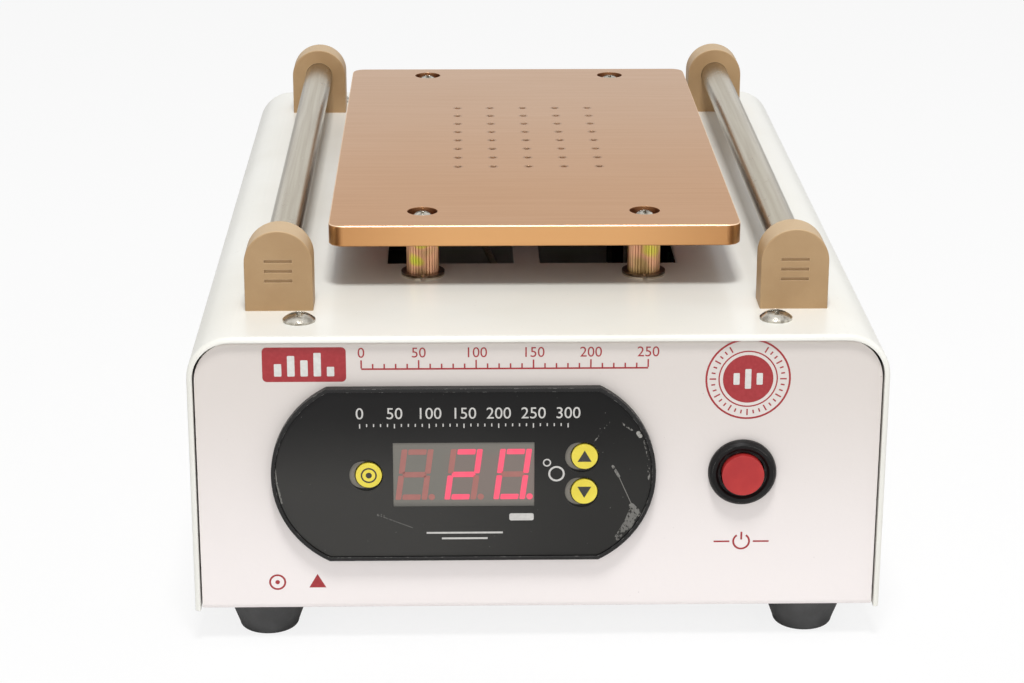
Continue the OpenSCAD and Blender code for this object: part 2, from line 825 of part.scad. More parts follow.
module cover_screws() {
  color("gainsboro") from_front() at_places(cover_screw_places, case_top)
    pan_screw(cover_screw, cover_t + chassis_t + 2 * overrun);
}

// Arch-shaped block that holds one end of a rod, its outer face towards -Y
module end_cap() {
  difference() {
    rounded_arch(cap_w, cap_h, cap_d, cap_w / 2, cap_edge_r);
    bar_y([0, cap_d - socket_depth, rod_rise], rod_d + 2 * running_gap, socket_depth + overrun);
    translate([0, cap_d / 2, -overrun])
      cylinder(d = m4[0] + 2 * thread_gap, h = cap_thread_depth + overrun);
    for (i = [-1 : 1])
      translate([-cap_groove_l / 2, -overrun, (cap_h - cap_groove_h) / 2 + i * cap_groove_pitch])
        cube([cap_groove_l, cap_groove_depth + overrun, cap_groove_h]);
  }
}

module placed_end_cap(side, rear) {
  color("tan") from_front() translate([side * rod_x, rear ? case_d - cap_inset : cap_inset, case_top])
    mirror([0, rear ? 1 : 0, 0]) end_cap();
}

module front_left_end_cap() { placed_end_cap(-1, false); }
module front_right_end_cap() { placed_end_cap(1, false); }
module rear_left_end_cap() { placed_end_cap(-1, true); }
module rear_right_end_cap() { placed_end_cap(1, true); }

module end_cap_screws() {
  color("silver") from_front() at_places(cap_places, cover_low)
    rotate([180, 0, 0]) pan_screw(m4, cover_t + cap_thread_depth - overrun);
}

module rod(side) {
  color("darkgray") from_front()
    bar_y([side * rod_x, rod_start, case_top + rod_rise], rod_d, case_d - 2 * rod_start);
}

module left_rod() { rod(-1); }
module right_rod() { rod(1); }

module hot_plate() {
  color([0.78, 0.58, 0.44]) from_front() difference() {
    translate([0, plate_y, plate_low]) {
      translate([0, 0, plate_chamfer]) linear_extrude(height = plate_t - 2 * plate_chamfer)
        round_rect(plate_w, plate_l, plate_corner_r);
      translate([0, 0, plate_t - plate_chamfer])
        chamfer_layer(plate_w, plate_l, plate_corner_r, plate_chamfer);
      translate([0, 0, plate_chamfer]) mirror([0, 0, 1])
        chamfer_layer(plate_w, plate_l, plate_corner_r, plate_chamfer);
    }
    at_places(plate_screw_places, plate_top - counterbore_depth)
      cylinder(d = counterbore_d, h = counterbore_depth + overrun);
    at_places(plate_screw_places, plate_low) cut_z(m3_hole_d, plate_t);
    for (i = [0 : hole_columns - 1]) for (j = [0 : hole_rows - 1])
      translate([(i - (hole_columns - 1) / 2) * hole_pitch,
        hole_y + (j - (hole_rows - 1) / 2) * hole_pitch, plate_low]) cut_z(hole_d, plate_t);
    at_places(concat(manifold_screw_places, [[sensor_x, sensor_y]]), plate_low - overrun)
      cylinder(d = m3[0] + 2 * thread_gap, h = tapped_depth + overrun);
  }
}

module plate_screws() {
  color("gainsboro") from_front() at_places(plate_screw_places, plate_top - counterbore_depth)
    pan_screw(plate_screw, plate_t - counterbore_depth + standoff_bore_depth - overrun);
}

// Straight knurl: the points lie on two circles in turn
module knurl_outline() {
  polygon([for (i = [0 : 2 * knurl_count - 1])
    (standoff_d / 2 - (i % 2) * knurl_depth) * [cos(180 * i / knurl_count), sin(180 * i / knurl_count)]]);
}

module standoffs() {
  stud_l = washer_t + cover_t + stud_nut_h + overrun;
  color([0.80, 0.72, 0.38]) from_front() at_places(plate_screw_places, case_top + washer_t)
    difference() {
      union() {
        linear_extrude(height = standoff_h) knurl_outline();
        translate([0, 0, -stud_l]) cylinder(d = stud_d, h = stud_l + merge);
      }
      translate([0, 0, standoff_h - standoff_bore_depth])
        cylinder(d = m3[0] + 2 * thread_gap, h = standoff_bore_depth + overrun);
    }
}

module spring_washers() {
  color("gray") from_front() at_places(plate_screw_places, case_top) difference() {
    cylinder(d = washer_d, h = washer_t);
    cut_z(washer_bore_d, washer_t);
    translate([-washer_split / 2, -washer_d, -overrun])
      cube([washer_split, washer_d, washer_t + 2 * overrun]);
  }
}

module standoff_nuts() {
  color("silver") from_front() at_places(plate_screw_places, cover_low - stud_nut_h)
    hex_nut(stud_nut_af, stud_nut_h, stud_d);
}

module heater_pad() {
  hole_w = manifold_full_w + 2 * heater_gap;
  hole_l = manifold_l + 2 * heater_gap;
  lug_w = sensor_lug_d + 2 * heater_gap;
  color([0.72, 0.30, 0.16]) from_front() difference() {
    translate([-heater_w / 2, plate_front + heater_front_inset, plate_low - heater_t])
      cube([heater_w, heater_l, heater_t]);
    translate([0, 0, plate_low - heater_t - overrun]) linear_extrude(height = heater_t + 2 * overrun) {
      translate([-hole_w / 2, hole_y - hole_l / 2]) square([hole_w, hole_l]);
      translate([cutout_x, sensor_y]) circle(d = cutout_d + 2 * heater_gap);
      translate([sensor_x - lug_w / 2, sensor_y - lug_w / 2]) square([lug_w, lug_w + sensor_sleeve_l]);
    }
  }
}

module vacuum_manifold() {
  color("silver") from_front() difference() {
    union() {
      translate([-manifold_full_w / 2, hole_y - manifold_l / 2, manifold_top - manifold_flange_t])
        cube([manifold_full_w, manifold_l, manifold_flange_t]);
      translate([-manifold_w / 2, hole_y - manifold_l / 2, manifold_low])
        cube([manifold_w, manifold_l, manifold_top - manifold_low]);
      translate([spigot_x, hole_y, manifold_low + merge]) rotate([180, 0, 0]) spigot(spigot_l + merge);
    }
    translate([-cavity_w / 2, hole_y - cavity_l / 2, manifold_top - manifold_depth])
      cube([cavity_w, cavity_l, manifold_depth + overrun]);
    translate([spigot_x, hole_y, manifold_low - spigot_l]) cut_z(spigot_bore_d, spigot_l + manifold_wall);
    at_places(manifold_screw_places, manifold_top - manifold_flange_t)
      cut_z(m3_hole_d, manifold_flange_t);
  }
}

module manifold_gasket() {
  color("firebrick") from_front() difference() {
    translate([-manifold_full_w / 2, hole_y - manifold_l / 2, manifold_top])
      cube([manifold_full_w, manifold_l, gasket_t]);
    translate([-cavity_w / 2, hole_y - cavity_l / 2, manifold_top - overrun])
      cube([cavity_w, cavity_l, gasket_t + 2 * overrun]);
    at_places(manifold_screw_places, manifold_top) cut_z(m3_hole_d, gasket_t);
  }
}

// Four screws for the manifold and one for the sensor's lug
module underside_screws() {
  flange_low = manifold_top - manifold_flange_t;
  color("gainsboro") from_front() {
    at_places(manifold_screw_places, flange_low) rotate([180, 0, 0])
      pan_screw(m3, plate_low - flange_low + tapped_depth - overrun);
    at_places([[sensor_x, sensor_y]], plate_low - sensor_lug_t) rotate([180, 0, 0])
      pan_screw(m3, sensor_lug_t + tapped_depth - overrun);
  }
}

// Ring lug and sleeve under the plate, with the lead that runs to the controller's board
module temperature_sensor() {
  sleeve = [sensor_x, sensor_y + sensor_lug_d / 2 - sensor_lug_t, plate_low - sensor_sleeve_d / 2];
  color("tan") from_front() {
    translate([sensor_x, sensor_y, plate_low - sensor_lug_t]) difference() {
      cylinder(d = sensor_lug_d, h = sensor_lug_t);
      cut_z(m3_hole_d, sensor_lug_t);
    }
    bar_y(sleeve, sensor_sleeve_d, sensor_sleeve_l);
    lead(sleeve + [0, sensor_sleeve_l - lead_out, 0], [0, 1, 0], sensor_points, [0, 1, 0],
      [bezel_x + sensor_lead_place[0], controller_board_y + board_t + lead_gap,
        bezel_z + sensor_lead_place[1]]);
  }
}

module thermal_cutout() {
  color("dimgray") from_front() translate([cutout_x, sensor_y, plate_low]) {
    translate([0, 0, -cutout_cap_h]) cylinder(d = cutout_d, h = cutout_cap_h);
    translate([0, 0, -cutout_cap_h - cutout_body_h])
      cylinder(d = cutout_body_d, h = cutout_body_h + merge);
    for (side = [-1, 1])
      translate([side * ((cutout_body_d + cutout_tab[0]) / 2 - overrun), 0,
        cutout_tab[2] - cutout_cap_h - cutout_body_h]) cube(cutout_tab, center = true);
  }
}

module vacuum_hose() {
  top = [spigot_x, hole_y, manifold_low - spigot_l + hose_grip];
  port = [pump_x + port_x, crank_middle, head_top + port_l - hose_grip];
  down = [0, 0, hose_grip];
  path = smooth_route(concat([top, top - down], hose_points, [port + down, port]), hose_steps);
  bore = concat([top + down], path, [port - down]);
  color("lightgray") from_front() difference() {
    swept_tube(path, hose_d, hose_sides);
    swept_tube(bore, hose_bore_d, hose_sides);
  }
}

module button_holes(at, d, depth) {
  for (p = button_places) cut_y([p[0] + at[0], at[1], p[1]], d, depth);
}

module display_cut(depth) {
  cube([display_w + 2 * cutout_gap, depth, display_h + 2 * cutout_gap], center = true);
}

module controller_bezel() {
  color([0.16, 0.16, 0.16]) from_front() translate([bezel_x, 0, bezel_z]) difference() {
    union() {
      translate([0, -bezel_proud, 0]) along_y(bezel_proud) bezel_outline(0);
      translate([0, -merge, 0]) along_y(bezel_body_d + merge) bezel_outline(bezel_inset);
      // Nubs that snap behind the panel
      for (x = [-nub_x, nub_x]) for (side = [-1, 1])
        translate([x, chassis_t + cutout_gap + nub[1] / 2,
          side * (bezel_h / 2 - bezel_inset + (nub[2] - merge) / 2)])
          cube([nub[0], nub[1], nub[2] + merge], center = true);
    }
    translate([0, -bezel_proud - overrun, 0])
      along_y(bezel_seat + overlay_t + overrun) bezel_outline(bezel_rim_w);
    // Hollow behind the face, open to the rear, with four posts for the board
    difference() {
      translate([0, bezel_back, 0])
        along_y(bezel_body_d - bezel_back + overrun) bezel_outline(bezel_inset + bezel_wall);
      for (p = post_places) bar_y([p[0], 0, p[1]], post_d, controller_board_y);
    }
    translate([0, bezel_face, 0]) display_cut(2 * (bezel_plate_t + overrun));
    button_holes([0, bezel_face], button_d + 2 * button_gap, bezel_plate_t);
    for (p = post_places)
      bar_y([p[0], controller_board_y - controller_screw_l, p[1]],
        m3[0] + 2 * thread_gap, controller_screw_l + overrun);
  }
}

module controller_overlay() {
  color([0.1, 0.1, 0.1]) from_front() translate([bezel_x, bezel_face - overlay_t, bezel_z])
    difference() {
      along_y(overlay_t) bezel_outline(bezel_rim_w + overlay_edge_gap);
      display_cut(2 * (overlay_t + overrun));
      button_holes([overlay_hole_shift, 0], button_d + 2 * (button_gap + overlay_hole_gap), overlay_t);
    }
}

module led_display() {
  front = bezel_face - overlay_t / 2;
  pins_l = controller_board_y - front - display_depth;
  color([0.42, 0.40, 0.38]) from_front() translate([bezel_x, front, bezel_z]) {
    translate([0, display_depth / 2, 0]) cube([display_w, display_depth, display_h], center = true);
    for (side = [-1, 1]) for (i = [0 : display_pin_count - 1])
      bar_y([(i - (display_pin_count - 1) / 2) * display_pin_pitch, display_depth - merge,
        side * display_pin_row / 2], display_pin_d, pins_l + merge);
  }
}

module controller_board() {
  color("seagreen") from_front() translate([bezel_x, controller_board_y, bezel_z]) difference() {
    along_y(board_t) bezel_outline(bezel_inset + bezel_wall + cutout_gap);
    for (p = post_places) cut_y([p[0], 0, p[1]], m3_hole_d, board_t);
  }
}

module controller_screws() {
  color("silver") from_front() for (p = post_places)
    translate([bezel_x + p[0], controller_board_y + board_t, bezel_z + p[1]])
      rotate([-90, 0, 0]) pan_screw(m3, board_t + controller_screw_l - overrun);
}

// Small button: its cap, the flange that holds it behind the face, and the stem
module small_button(place) {
  front = bezel_face - overlay_t - button_proud;
  flange_y = bezel_back + rest_gap;
  stem_end = tact_front - button_travel - rest_gap;
  translate([bezel_x + place[0], 0, bezel_z + place[1]]) {
    bar_y([0, front, 0], button_d, flange_y + merge - front);
    bar_y([0, flange_y, 0], button_d + button_flange_extra, button_flange_t);
    bar_y([0, flange_y + merge, 0], button_stem_d, stem_end - flange_y - merge);
  }
}

module set_button() { color("gold") from_front() small_button(button_places[0]); }
module up_button() { color("gold") from_front() small_button(button_places[1]); }
module down_button() { color("gold") from_front() small_button(button_places[2]); }

module tact_switches() {
  color([0.2, 0.2, 0.2]) from_front() for (p = button_places)
    translate([bezel_x + p[0], 0, bezel_z + p[1]]) {
      translate([0, controller_board_y - tact_h / 2, 0]) cube([tact_w, tact_h, tact_w], center = true);
      bar_y([0, tact_front, 0], tact_plunger_d, tact_plunger_h + merge);
    }
}

// Threaded barrel with a domed bezel, a dish inside it and a collar round the button
module start_switch_body() {
  edge_r = switch_d / 2;
  collar_r = start_d / 2 + button_gap;
  slope_r = edge_r - switch_slope_w;
  color([0.14, 0.14, 0.14]) from_front() translate([switch_x, 0, switch_z]) rotate([90, 0, 0])
    difference() {
      union() {
        rotate_extrude() polygon([
          [collar_r, 0], [edge_r, 0], [edge_r, switch_rim_t],
          [edge_r - switch_slope_w * dome_edge_share[0], switch_dome * dome_edge_share[1]],
          [edge_r - switch_slope_w * dome_top_share, switch_dome],
          [slope_r, switch_dome * dome_inner_share],
          [collar_r + switch_lip_t, switch_dish], [collar_r, switch_dish]
        ]);
        translate([0, 0, -switch_depth]) cylinder(d = barrel_d, h = switch_depth + merge);
        for (side = [-1, 1])
          translate([side * switch_tab_pitch / 2, 0, (merge - switch_tab[1]) / 2 - switch_depth])
            cube([switch_tab[2], switch_tab[0], switch_tab[1] + merge], center = true);
      }
      translate([0, 0, -switch_bore_depth])
        cylinder(r = collar_r, h = switch_bore_depth + switch_dome + overrun);
    }
}

module start_button() {
  color("firebrick") from_front() translate([switch_x, -start_proud, switch_z]) rotate([-90, 0, 0])
    difference() {
      cylinder(d = start_d, h = start_l);
      translate([0, 0, start_wall]) cylinder(d = start_d - 2 * start_wall, h = start_l);
    }
}

module start_switch_nut() {
  color("silver") from_front() translate([switch_x, chassis_t, switch_z]) rotate([-90, 0, 0])
    hex_nut(start_nut_af, start_nut_h, barrel_d);
}

module start_switch_spring() {
  from = start_wall + spring_wire_d / 2 + spring_gap - start_proud;
  to = switch_bore_depth - spring_wire_d / 2 - spring_gap;
  steps = 12 * spring_turns;
  color("lightgray") from_front() translate([switch_x, 0, switch_z]) swept_tube(
    [for (i = [0 : steps]) [
      spring_d / 2 * cos(360 * i * spring_turns / steps), from + (to - from) * i / steps,
      spring_d / 2 * sin(360 * i * spring_turns / steps)
    ]], spring_wire_d, 6);
}

// Mouth of the socket, its two upper corners cut
module socket_outline() {
  difference() {
    square([socket_w, socket_h], center = true);
    for (side = [-1, 1]) translate([side * socket_w / 2, socket_h / 2])
      rotate([0, 0, 45]) square(socket_corner * sqrt(2), center = true);
  }
}

module inlet_housing() {
  pocket_w = rocker_w + 2 * rocker_gap;
  pocket_r = rocker_r + rocker_gap;
  axle_l = rocker_w + 2 * rocker_axle_l;
  slot_w = drawer_w + 2 * cutout_gap;
  slot_h = drawer_h + 2 * cutout_gap;
  color([0.13, 0.13, 0.13]) from_front() translate([inlet_x, case_d, inlet_z]) difference() {
    union() {
      along_y(inlet_flange_t) {
        round_rect(inlet_w, inlet_h, inlet_corner_r);
        translate([0, -socket_drop])
          round_rect(inlet_screw_pitch + inlet_ear_w, inlet_ear_h, inlet_corner_r);
      }
      translate([-inlet_body_w / 2, -inlet_body_d, -inlet_body_h / 2])
        cube([inlet_body_w, inlet_body_d + merge, inlet_body_h]);
    }
    translate([0, inlet_flange_t, 0]) {
      translate([0, -socket_depth_in, -socket_drop])
        along_y(socket_depth_in + overrun) socket_outline();
      translate([-slot_w / 2, -drawer_slot_l, -drawer_drop - slot_h / 2])
        cube([slot_w, drawer_slot_l + overrun, slot_h]);
      translate([0, -rocker_sink, rocker_rise]) {
        translate([-pocket_w / 2, -pocket_r, -pocket_r])
          cube([pocket_w, pocket_r + rocker_sink + overrun, 2 * pocket_r]);
        rotate([0, 90, 0])
          cylinder(d = rocker_axle_d + 2 * running_gap, h = axle_l, center = true);
      }
    }
    for (p = pin_places) translate([p[0], -inlet_body_d / 2, p[1] - socket_drop])
      cube([pin_w, inlet_body_d + overrun, pin_h], center = true);
    for (side = [-1, 1])
      cut_y([side * inlet_screw_pitch / 2, 0, -socket_drop], m3_hole_d, inlet_flange_t);
  }
}

// Three blades, each with its tab behind the housing
module inlet_pins() {
  blade_l = inlet_flange_t - socket_depth_in + pin_l + inlet_body_d;
  color("silver") from_front() translate([inlet_x, case_d - inlet_body_d, inlet_z - socket_drop])
    for (p = pin_places) {
      translate([p[0] - pin_w / 2, 0, p[1] - pin_h / 2]) cube([pin_w, blade_l, pin_h]);
      translate([p[0] - pin_tab[0] / 2, -pin_tab[1], p[1] - pin_tab[2] / 2])
        cube([pin_tab[0], pin_tab[1], pin_tab[2]]);
    }
}

// Two screws from outside and their nuts inside the rear panel
module inlet_screws() {
  color("gainsboro") from_front() for (side = [-1, 1])
    translate([inlet_x + side * inlet_screw_pitch / 2, case_d, inlet_z - socket_drop])
      rotate([-90, 0, 0]) {
        translate([0, 0, inlet_flange_t])
          pan_screw(m3, inlet_flange_t + chassis_t + nut_m3_h + overrun);
        translate([0, 0, -chassis_t - nut_m3_h]) hex_nut(nut_m3_af, nut_m3_h, m3[0]);
      }
}

// Drawer with a trough for the fuse and a lip to pull it by
module fuse_drawer() {
  trough_r = fuse_d / 2 + fuse_gap;
  color([0.2, 0.2, 0.2]) from_front()
    translate([inlet_x, case_d + inlet_flange_t, inlet_z - drawer_drop]) difference() {
      union() {
        translate([-drawer_w / 2, -drawer_l, -drawer_h / 2]) cube([drawer_w, drawer_l + merge, drawer_h]);
        along_y(drawer_lip)
          round_rect(drawer_w + 2 * drawer_lip_extra, drawer_h + 2 * drawer_lip_extra, drawer_lip_extra);
      }
      translate([-fuse_l / 2 - fuse_gap, -drawer_l / 2 - trough_r, -trough_r])
        cube([fuse_l + 2 * fuse_gap, 2 * trough_r, drawer_h]);
    }
}

module fuse() {
  color("lightsteelblue") from_front()
    translate([inlet_x, case_d + inlet_flange_t - drawer_l / 2, inlet_z - drawer_drop])
      rotate([0, 90, 0]) {
        cylinder(d = fuse_d - 2 * fuse_gap, h = fuse_l, center = true);
        for (side = [-1, 1]) translate([0, 0, side * (fuse_l - fuse_cap_l) / 2])
          cylinder(d = fuse_d, h = fuse_cap_l, center = true);
      }
}

// Rocker with a dished top, tilted to one of its two places
module power_rocker() {
  color([0.1, 0.1, 0.1]) from_front()
    translate([inlet_x, case_d + inlet_flange_t - rocker_sink, inlet_z + rocker_rise])
      rotate([rocker_tilt, 0, 0]) {
        along_x(rocker_w) intersection() {
          circle(r = rocker_r);
          polygon([
            [-rocker_r, -rocker_r], [rocker_end, -rocker_r], [rocker_dip, 0],
            [rocker_end, rocker_r], [-rocker_r, rocker_r]
          ]);
        }
        rotate([0, 90, 0]) cylinder(
          d = rocker_axle_d, h = rocker_w + 2 * (rocker_axle_l - rocker_gap), center = true);
      }
}

module supply_board() {
  color("darkgreen") from_front() difference() {
    translate([board_x - board_w / 2, board_y - board_l / 2, board_low]) cube([board_w, board_l, board_t]);
    at_places(spacer_places, board_low) cut_z(board_hole_d, board_t);
  }
}

// Spacers that snap into the floor below and the board above
module board_posts() {
  color("white") from_front() at_places(spacer_places, foot_h) {
    translate([0, 0, chassis_t]) cylinder(d = spacer_d, h = board_lift);
    translate([0, 0, -spacer_tip_h])
      cylinder(d = board_hole_d - 2 * running_gap, h = board_top - foot_h + 2 * spacer_tip_h);
  }
}

module supply_transformer() {
  color([0.85, 0.75, 0.3]) from_front()
    translate([board_x + transformer_place[0], board_y + transformer_place[1],
      board_top + transformer[2] / 2]) {
      cube(transformer, center = true);
      cube([transformer[0] + 2 * bobbin_extra, transformer[1] - 2 * bobbin_extra, bobbin_h], center = true);
    }
}

module supply_capacitor() {
  color([0.12, 0.16, 0.3]) from_front()
    translate([board_x + capacitor_place[0], board_y + capacitor_place[1], board_top]) difference() {
      cylinder(d = capacitor_d, h = capacitor_h);
      translate([0, 0, capacitor_groove_z]) rotate_extrude()
        translate([capacitor_d / 2, 0]) circle(r = capacitor_groove_r);
    }
}

module heater_relay() {
  color("royalblue") from_front()
    translate([board_x + relay_place[0], board_y + relay_place[1], board_top])
      linear_extrude(height = relay[2]) round_rect(relay[0], relay[1], relay_corner_r);
}

module terminal_block() {
  length = block_pole * block_poles;
  color("mediumseagreen") from_front()
    translate([board_x - length / 2, board_y + board_l / 2 - block_inset, board_top]) difference() {
      translate([0, -block_d / 2, 0]) cube([length, block_d, block_h]);
      for (i = [0 : block_poles - 1]) translate([(i + 0.5) * block_pole, 0, block_h / 2])
        cylinder(d = block_screw_d, h = block_h);
    }
}

module pump_motor() {
  color("silver") from_front() difference() {
    union() {
      bar_y([pump_x, pump_start, pump_z], motor_d, motor_l);
      bar_y([pump_x, pump_start - bushing_h, pump_z], bushing_d, bushing_h + merge);
    }
    bar_y([pump_x, crank_start - shaft_inside, pump_z], shaft_d + 2 * running_gap, shaft_inside + overrun);
  }
}

// Shaft with a round counterweight and an off-centre pin
module pump_rotor() {
  weight_y = crank_start + crank_wall + overrun;
  shaft_y = crank_start - shaft_inside + overrun;
  color("gray") from_front() {
    bar_y([pump_x, shaft_y, pump_z], shaft_d, weight_y + merge - shaft_y);
    bar_y([pump_x, weight_y, pump_z], weight_d, weight_t);
    bar_y([pump_x, weight_y + weight_t - merge, pump_z + crank_throw], crank_pin_d, crank_pin_l + merge);
  }
}

module pump_crankcase() {
  color("dimgray") from_front() difference() {
    translate([pump_x - crank_w / 2, crank_start, pump_z - crank_drop])
      cube([crank_w, crank_l, crank_drop + crank_rise]);
    bar_y([pump_x, crank_start + crank_wall, pump_z], crank_bore_d, crank_l);
    cut_y([pump_x, crank_start, pump_z], shaft_hole_d, crank_wall);
    translate([pump_x, crank_middle, pump_z]) cylinder(d = crank_port_d, h = crank_rise + overrun);
    at_places(head_screw_places, crank_top - head_screw_depth)
      cylinder(d = m3[0] + 2 * thread_gap, h = head_screw_depth + overrun);
  }
}

// Rubber sheet clamped at its edge, with the piston and the connecting rod below it
module pump_diaphragm() {
  color([0.25, 0.25, 0.25]) from_front() {
    difference() {
      translate([pump_x - crank_w / 2, crank_start, crank_top]) cube([crank_w, crank_l, diaphragm_t]);
      at_places(head_screw_places, crank_top) cut_z(m3_hole_d, diaphragm_t);
    }
    translate([pump_x, crank_middle, crank_top - piston_t]) cylinder(d = piston_d, h = piston_t + merge);
    difference() {
      union() {
        translate([pump_x - rod_stem_w / 2, crank_middle - rod_eye_t / 2, pump_z])
          cube([rod_stem_w, rod_eye_t, crank_rise - merge]);
        bar_y([pump_x, crank_middle - rod_eye_t / 2, pump_z], rod_eye_d + 2 * rod_eye_wall, rod_eye_t);
      }
      cut_y([pump_x, crank_middle - rod_eye_t / 2, pump_z], rod_eye_d, rod_eye_t);
    }
  }
}

module pump_valve_head() {
  color([0.3, 0.3, 0.32]) from_front() difference() {
    union() {
      translate([pump_x - crank_w / 2, crank_start, head_low]) cube([crank_w, crank_l, head_h]);
      for (side = [-1, 1]) translate([pump_x + side * port_x, crank_middle, head_top - merge])
        spigot(port_l + merge);
    }
    for (side = [-1, 1]) translate([pump_x + side * port_x, crank_middle, head_low])
      cut_z(spigot_bore_d, head_h + port_l);
    translate([pump_x, crank_middle, head_low - overrun])
      cylinder(d = head_chamber_d, h = head_chamber_h + overrun);
    at_places(head_screw_places, head_low) cut_z(m3_hole_d, head_h);
  }
}

// Strap round the motor on a foot that is screwed to the floor
module pump_bracket() {
  color("slategray") from_front() translate([pump_x, bracket_y - strap_w / 2, 0]) difference() {
    union() {
      bar_y([0, 0, pump_z], motor_d + 2 * strap_t, strap_w);
      translate([-strap_leg_w / 2, 0, floor_top]) cube([strap_leg_w, strap_w, pump_z - floor_top]);
      translate([-bracket_w / 2, 0, floor_top]) cube([bracket_w, strap_w, bracket_t]);
    }
    cut_y([0, 0, pump_z], motor_d + 2 * running_gap, strap_w);
    for (side = [-1, 1]) translate([side * bracket_screw_x, strap_w / 2, floor_top])
      cut_z(m3_hole_d, bracket_t);
  }
}

// Four screws through the valve head and two through the bracket's foot
module pump_screws() {
  color("silver") from_front() {
    at_places(head_screw_places, head_top)
      pan_screw(m3, head_h + diaphragm_t + head_screw_depth - overrun);
    for (side = [-1, 1])
      translate([pump_x + side * bracket_screw_x, bracket_y, floor_top + bracket_t])
        pan_screw(m3, bracket_t + chassis_t + overrun);
  }
}

// From the inlet's tabs to the terminal block
module mains_leads() {
  tab_y = case_d - inlet_body_d - pin_tab[1] - lead_gap;
  block_y = board_y + board_l / 2 - block_inset + block_d / 2 + lead_gap;
  color("saddlebrown") from_front() for (i = [0 : 2])
    lead([inlet_x + pin_places[i][0], tab_y, inlet_z - socket_drop + pin_places[i][1]], [0, -1, 0], [],
      [0, 1, 0], [board_x + (i - 1.5) * block_pole, block_y, board_top + block_h / 2]);
}

// From the supply board to the thermal cutout, and back to it from the heater pad
module heater_leads() {
  tab = [cutout_x + cutout_body_d / 2 + cutout_tab[0] - overrun + lead_gap, sensor_y,
    plate_low - cutout_cap_h - cutout_body_h + cutout_tab[2]];
  board_ends = [for (p = board_lead_places) [board_x + p[0], board_y + p[1], board_top + lead_gap]];
  color("white") from_front() {
    lead(tab, [1, 0, 0], cutout_points, [0, 0, 1], board_ends[0]);
    lead([heater_lead_place[0], heater_lead_place[1], plate_low - heater_t - lead_gap], [0, 0, -1],
      heater_points, [0, 0, 1], board_ends[1]);
  }
}

// From the start switch, the pump's motor and the controller to the supply board
module control_leads() {
  board_ends = [for (p = control_lead_places) [board_x + p[0], board_start + p[1], board_top + lead_gap]];
  color("crimson") from_front() for (i = [0, 1]) {
    side = 2 * i - 1;
    lead([switch_x + side * switch_tab_pitch / 2, switch_depth + switch_tab[1] + lead_gap, switch_z],
      [0, 1, 0], switch_points[i], [0, 0, 1], board_ends[i]);
    lead([pump_x + side * motor_lead_x, pump_start - lead_gap, pump_z],
      [0, -1, 0], motor_points[i], [0, 0, 1], board_ends[2 + i]);
    lead([bezel_x + controller_lead_places[i][0], controller_board_y + board_t + lead_gap,
      bezel_z + controller_lead_places[i][1]],
      [0, 1, 0], controller_points[i], [0, 0, 1], board_ends[4 + i]);
  }
}

chassis();
cover();
feet();
foot_screws();
foot_nuts();
cover_screws();
front_left_end_cap();
front_right_end_cap();
rear_left_end_cap();
rear_right_end_cap();
end_cap_screws();
left_rod();
right_rod();
hot_plate();
plate_screws();
standoffs();
spring_washers();
standoff_nuts();
heater_pad();
vacuum_manifold();
manifold_gasket();
underside_screws();
temperature_sensor();
thermal_cutout();
vacuum_hose();
controller_bezel();
controller_overlay();
led_display();
controller_board();
controller_screws();
set_button();
up_button();
down_button();
tact_switches();
start_switch_body();
start_button();
start_switch_nut();
start_switch_spring();
inlet_housing();
inlet_pins();
inlet_screws();
fuse_drawer();
fuse();
power_rocker();
supply_board();
supply_transformer();
supply_capacitor();
heater_relay();
terminal_block();
board_posts();
pump_motor();
pump_rotor();
pump_crankcase();
pump_diaphragm();
pump_valve_head();
pump_bracket();
pump_screws();
mains_leads();
heater_leads();
control_leads();
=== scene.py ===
import math

import bmesh
import bpy
from mathutils import Matrix, Vector


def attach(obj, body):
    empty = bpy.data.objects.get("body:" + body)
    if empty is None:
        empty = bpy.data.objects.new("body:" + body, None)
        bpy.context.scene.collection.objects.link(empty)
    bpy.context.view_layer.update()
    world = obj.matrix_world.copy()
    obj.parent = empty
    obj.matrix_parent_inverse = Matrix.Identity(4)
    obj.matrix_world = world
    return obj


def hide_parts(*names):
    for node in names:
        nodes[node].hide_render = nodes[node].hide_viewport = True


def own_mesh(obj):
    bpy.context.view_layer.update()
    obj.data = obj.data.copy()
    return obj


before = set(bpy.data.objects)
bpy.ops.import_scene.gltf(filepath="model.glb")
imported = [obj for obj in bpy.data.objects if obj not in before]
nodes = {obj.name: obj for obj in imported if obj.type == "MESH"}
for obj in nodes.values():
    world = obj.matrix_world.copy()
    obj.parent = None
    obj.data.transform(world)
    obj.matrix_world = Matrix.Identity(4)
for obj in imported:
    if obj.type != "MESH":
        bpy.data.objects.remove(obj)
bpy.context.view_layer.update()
mm = 0.001
panelY = -0.1374  # the front panel's face; places below are in mm from it
print("frame loaded,", len(nodes), "nodes")


def spot(x, y, z):
    return Vector((x * mm, y * mm + panelY, z * mm))


def srgb(r, g, b):  # screen colour to the linear one that the shaders take
    return tuple(c / 255 / 12.92 if c < 11 else ((c / 255 + 0.055) / 1.055) ** 2.4 for c in (r, g, b)) + (1,)


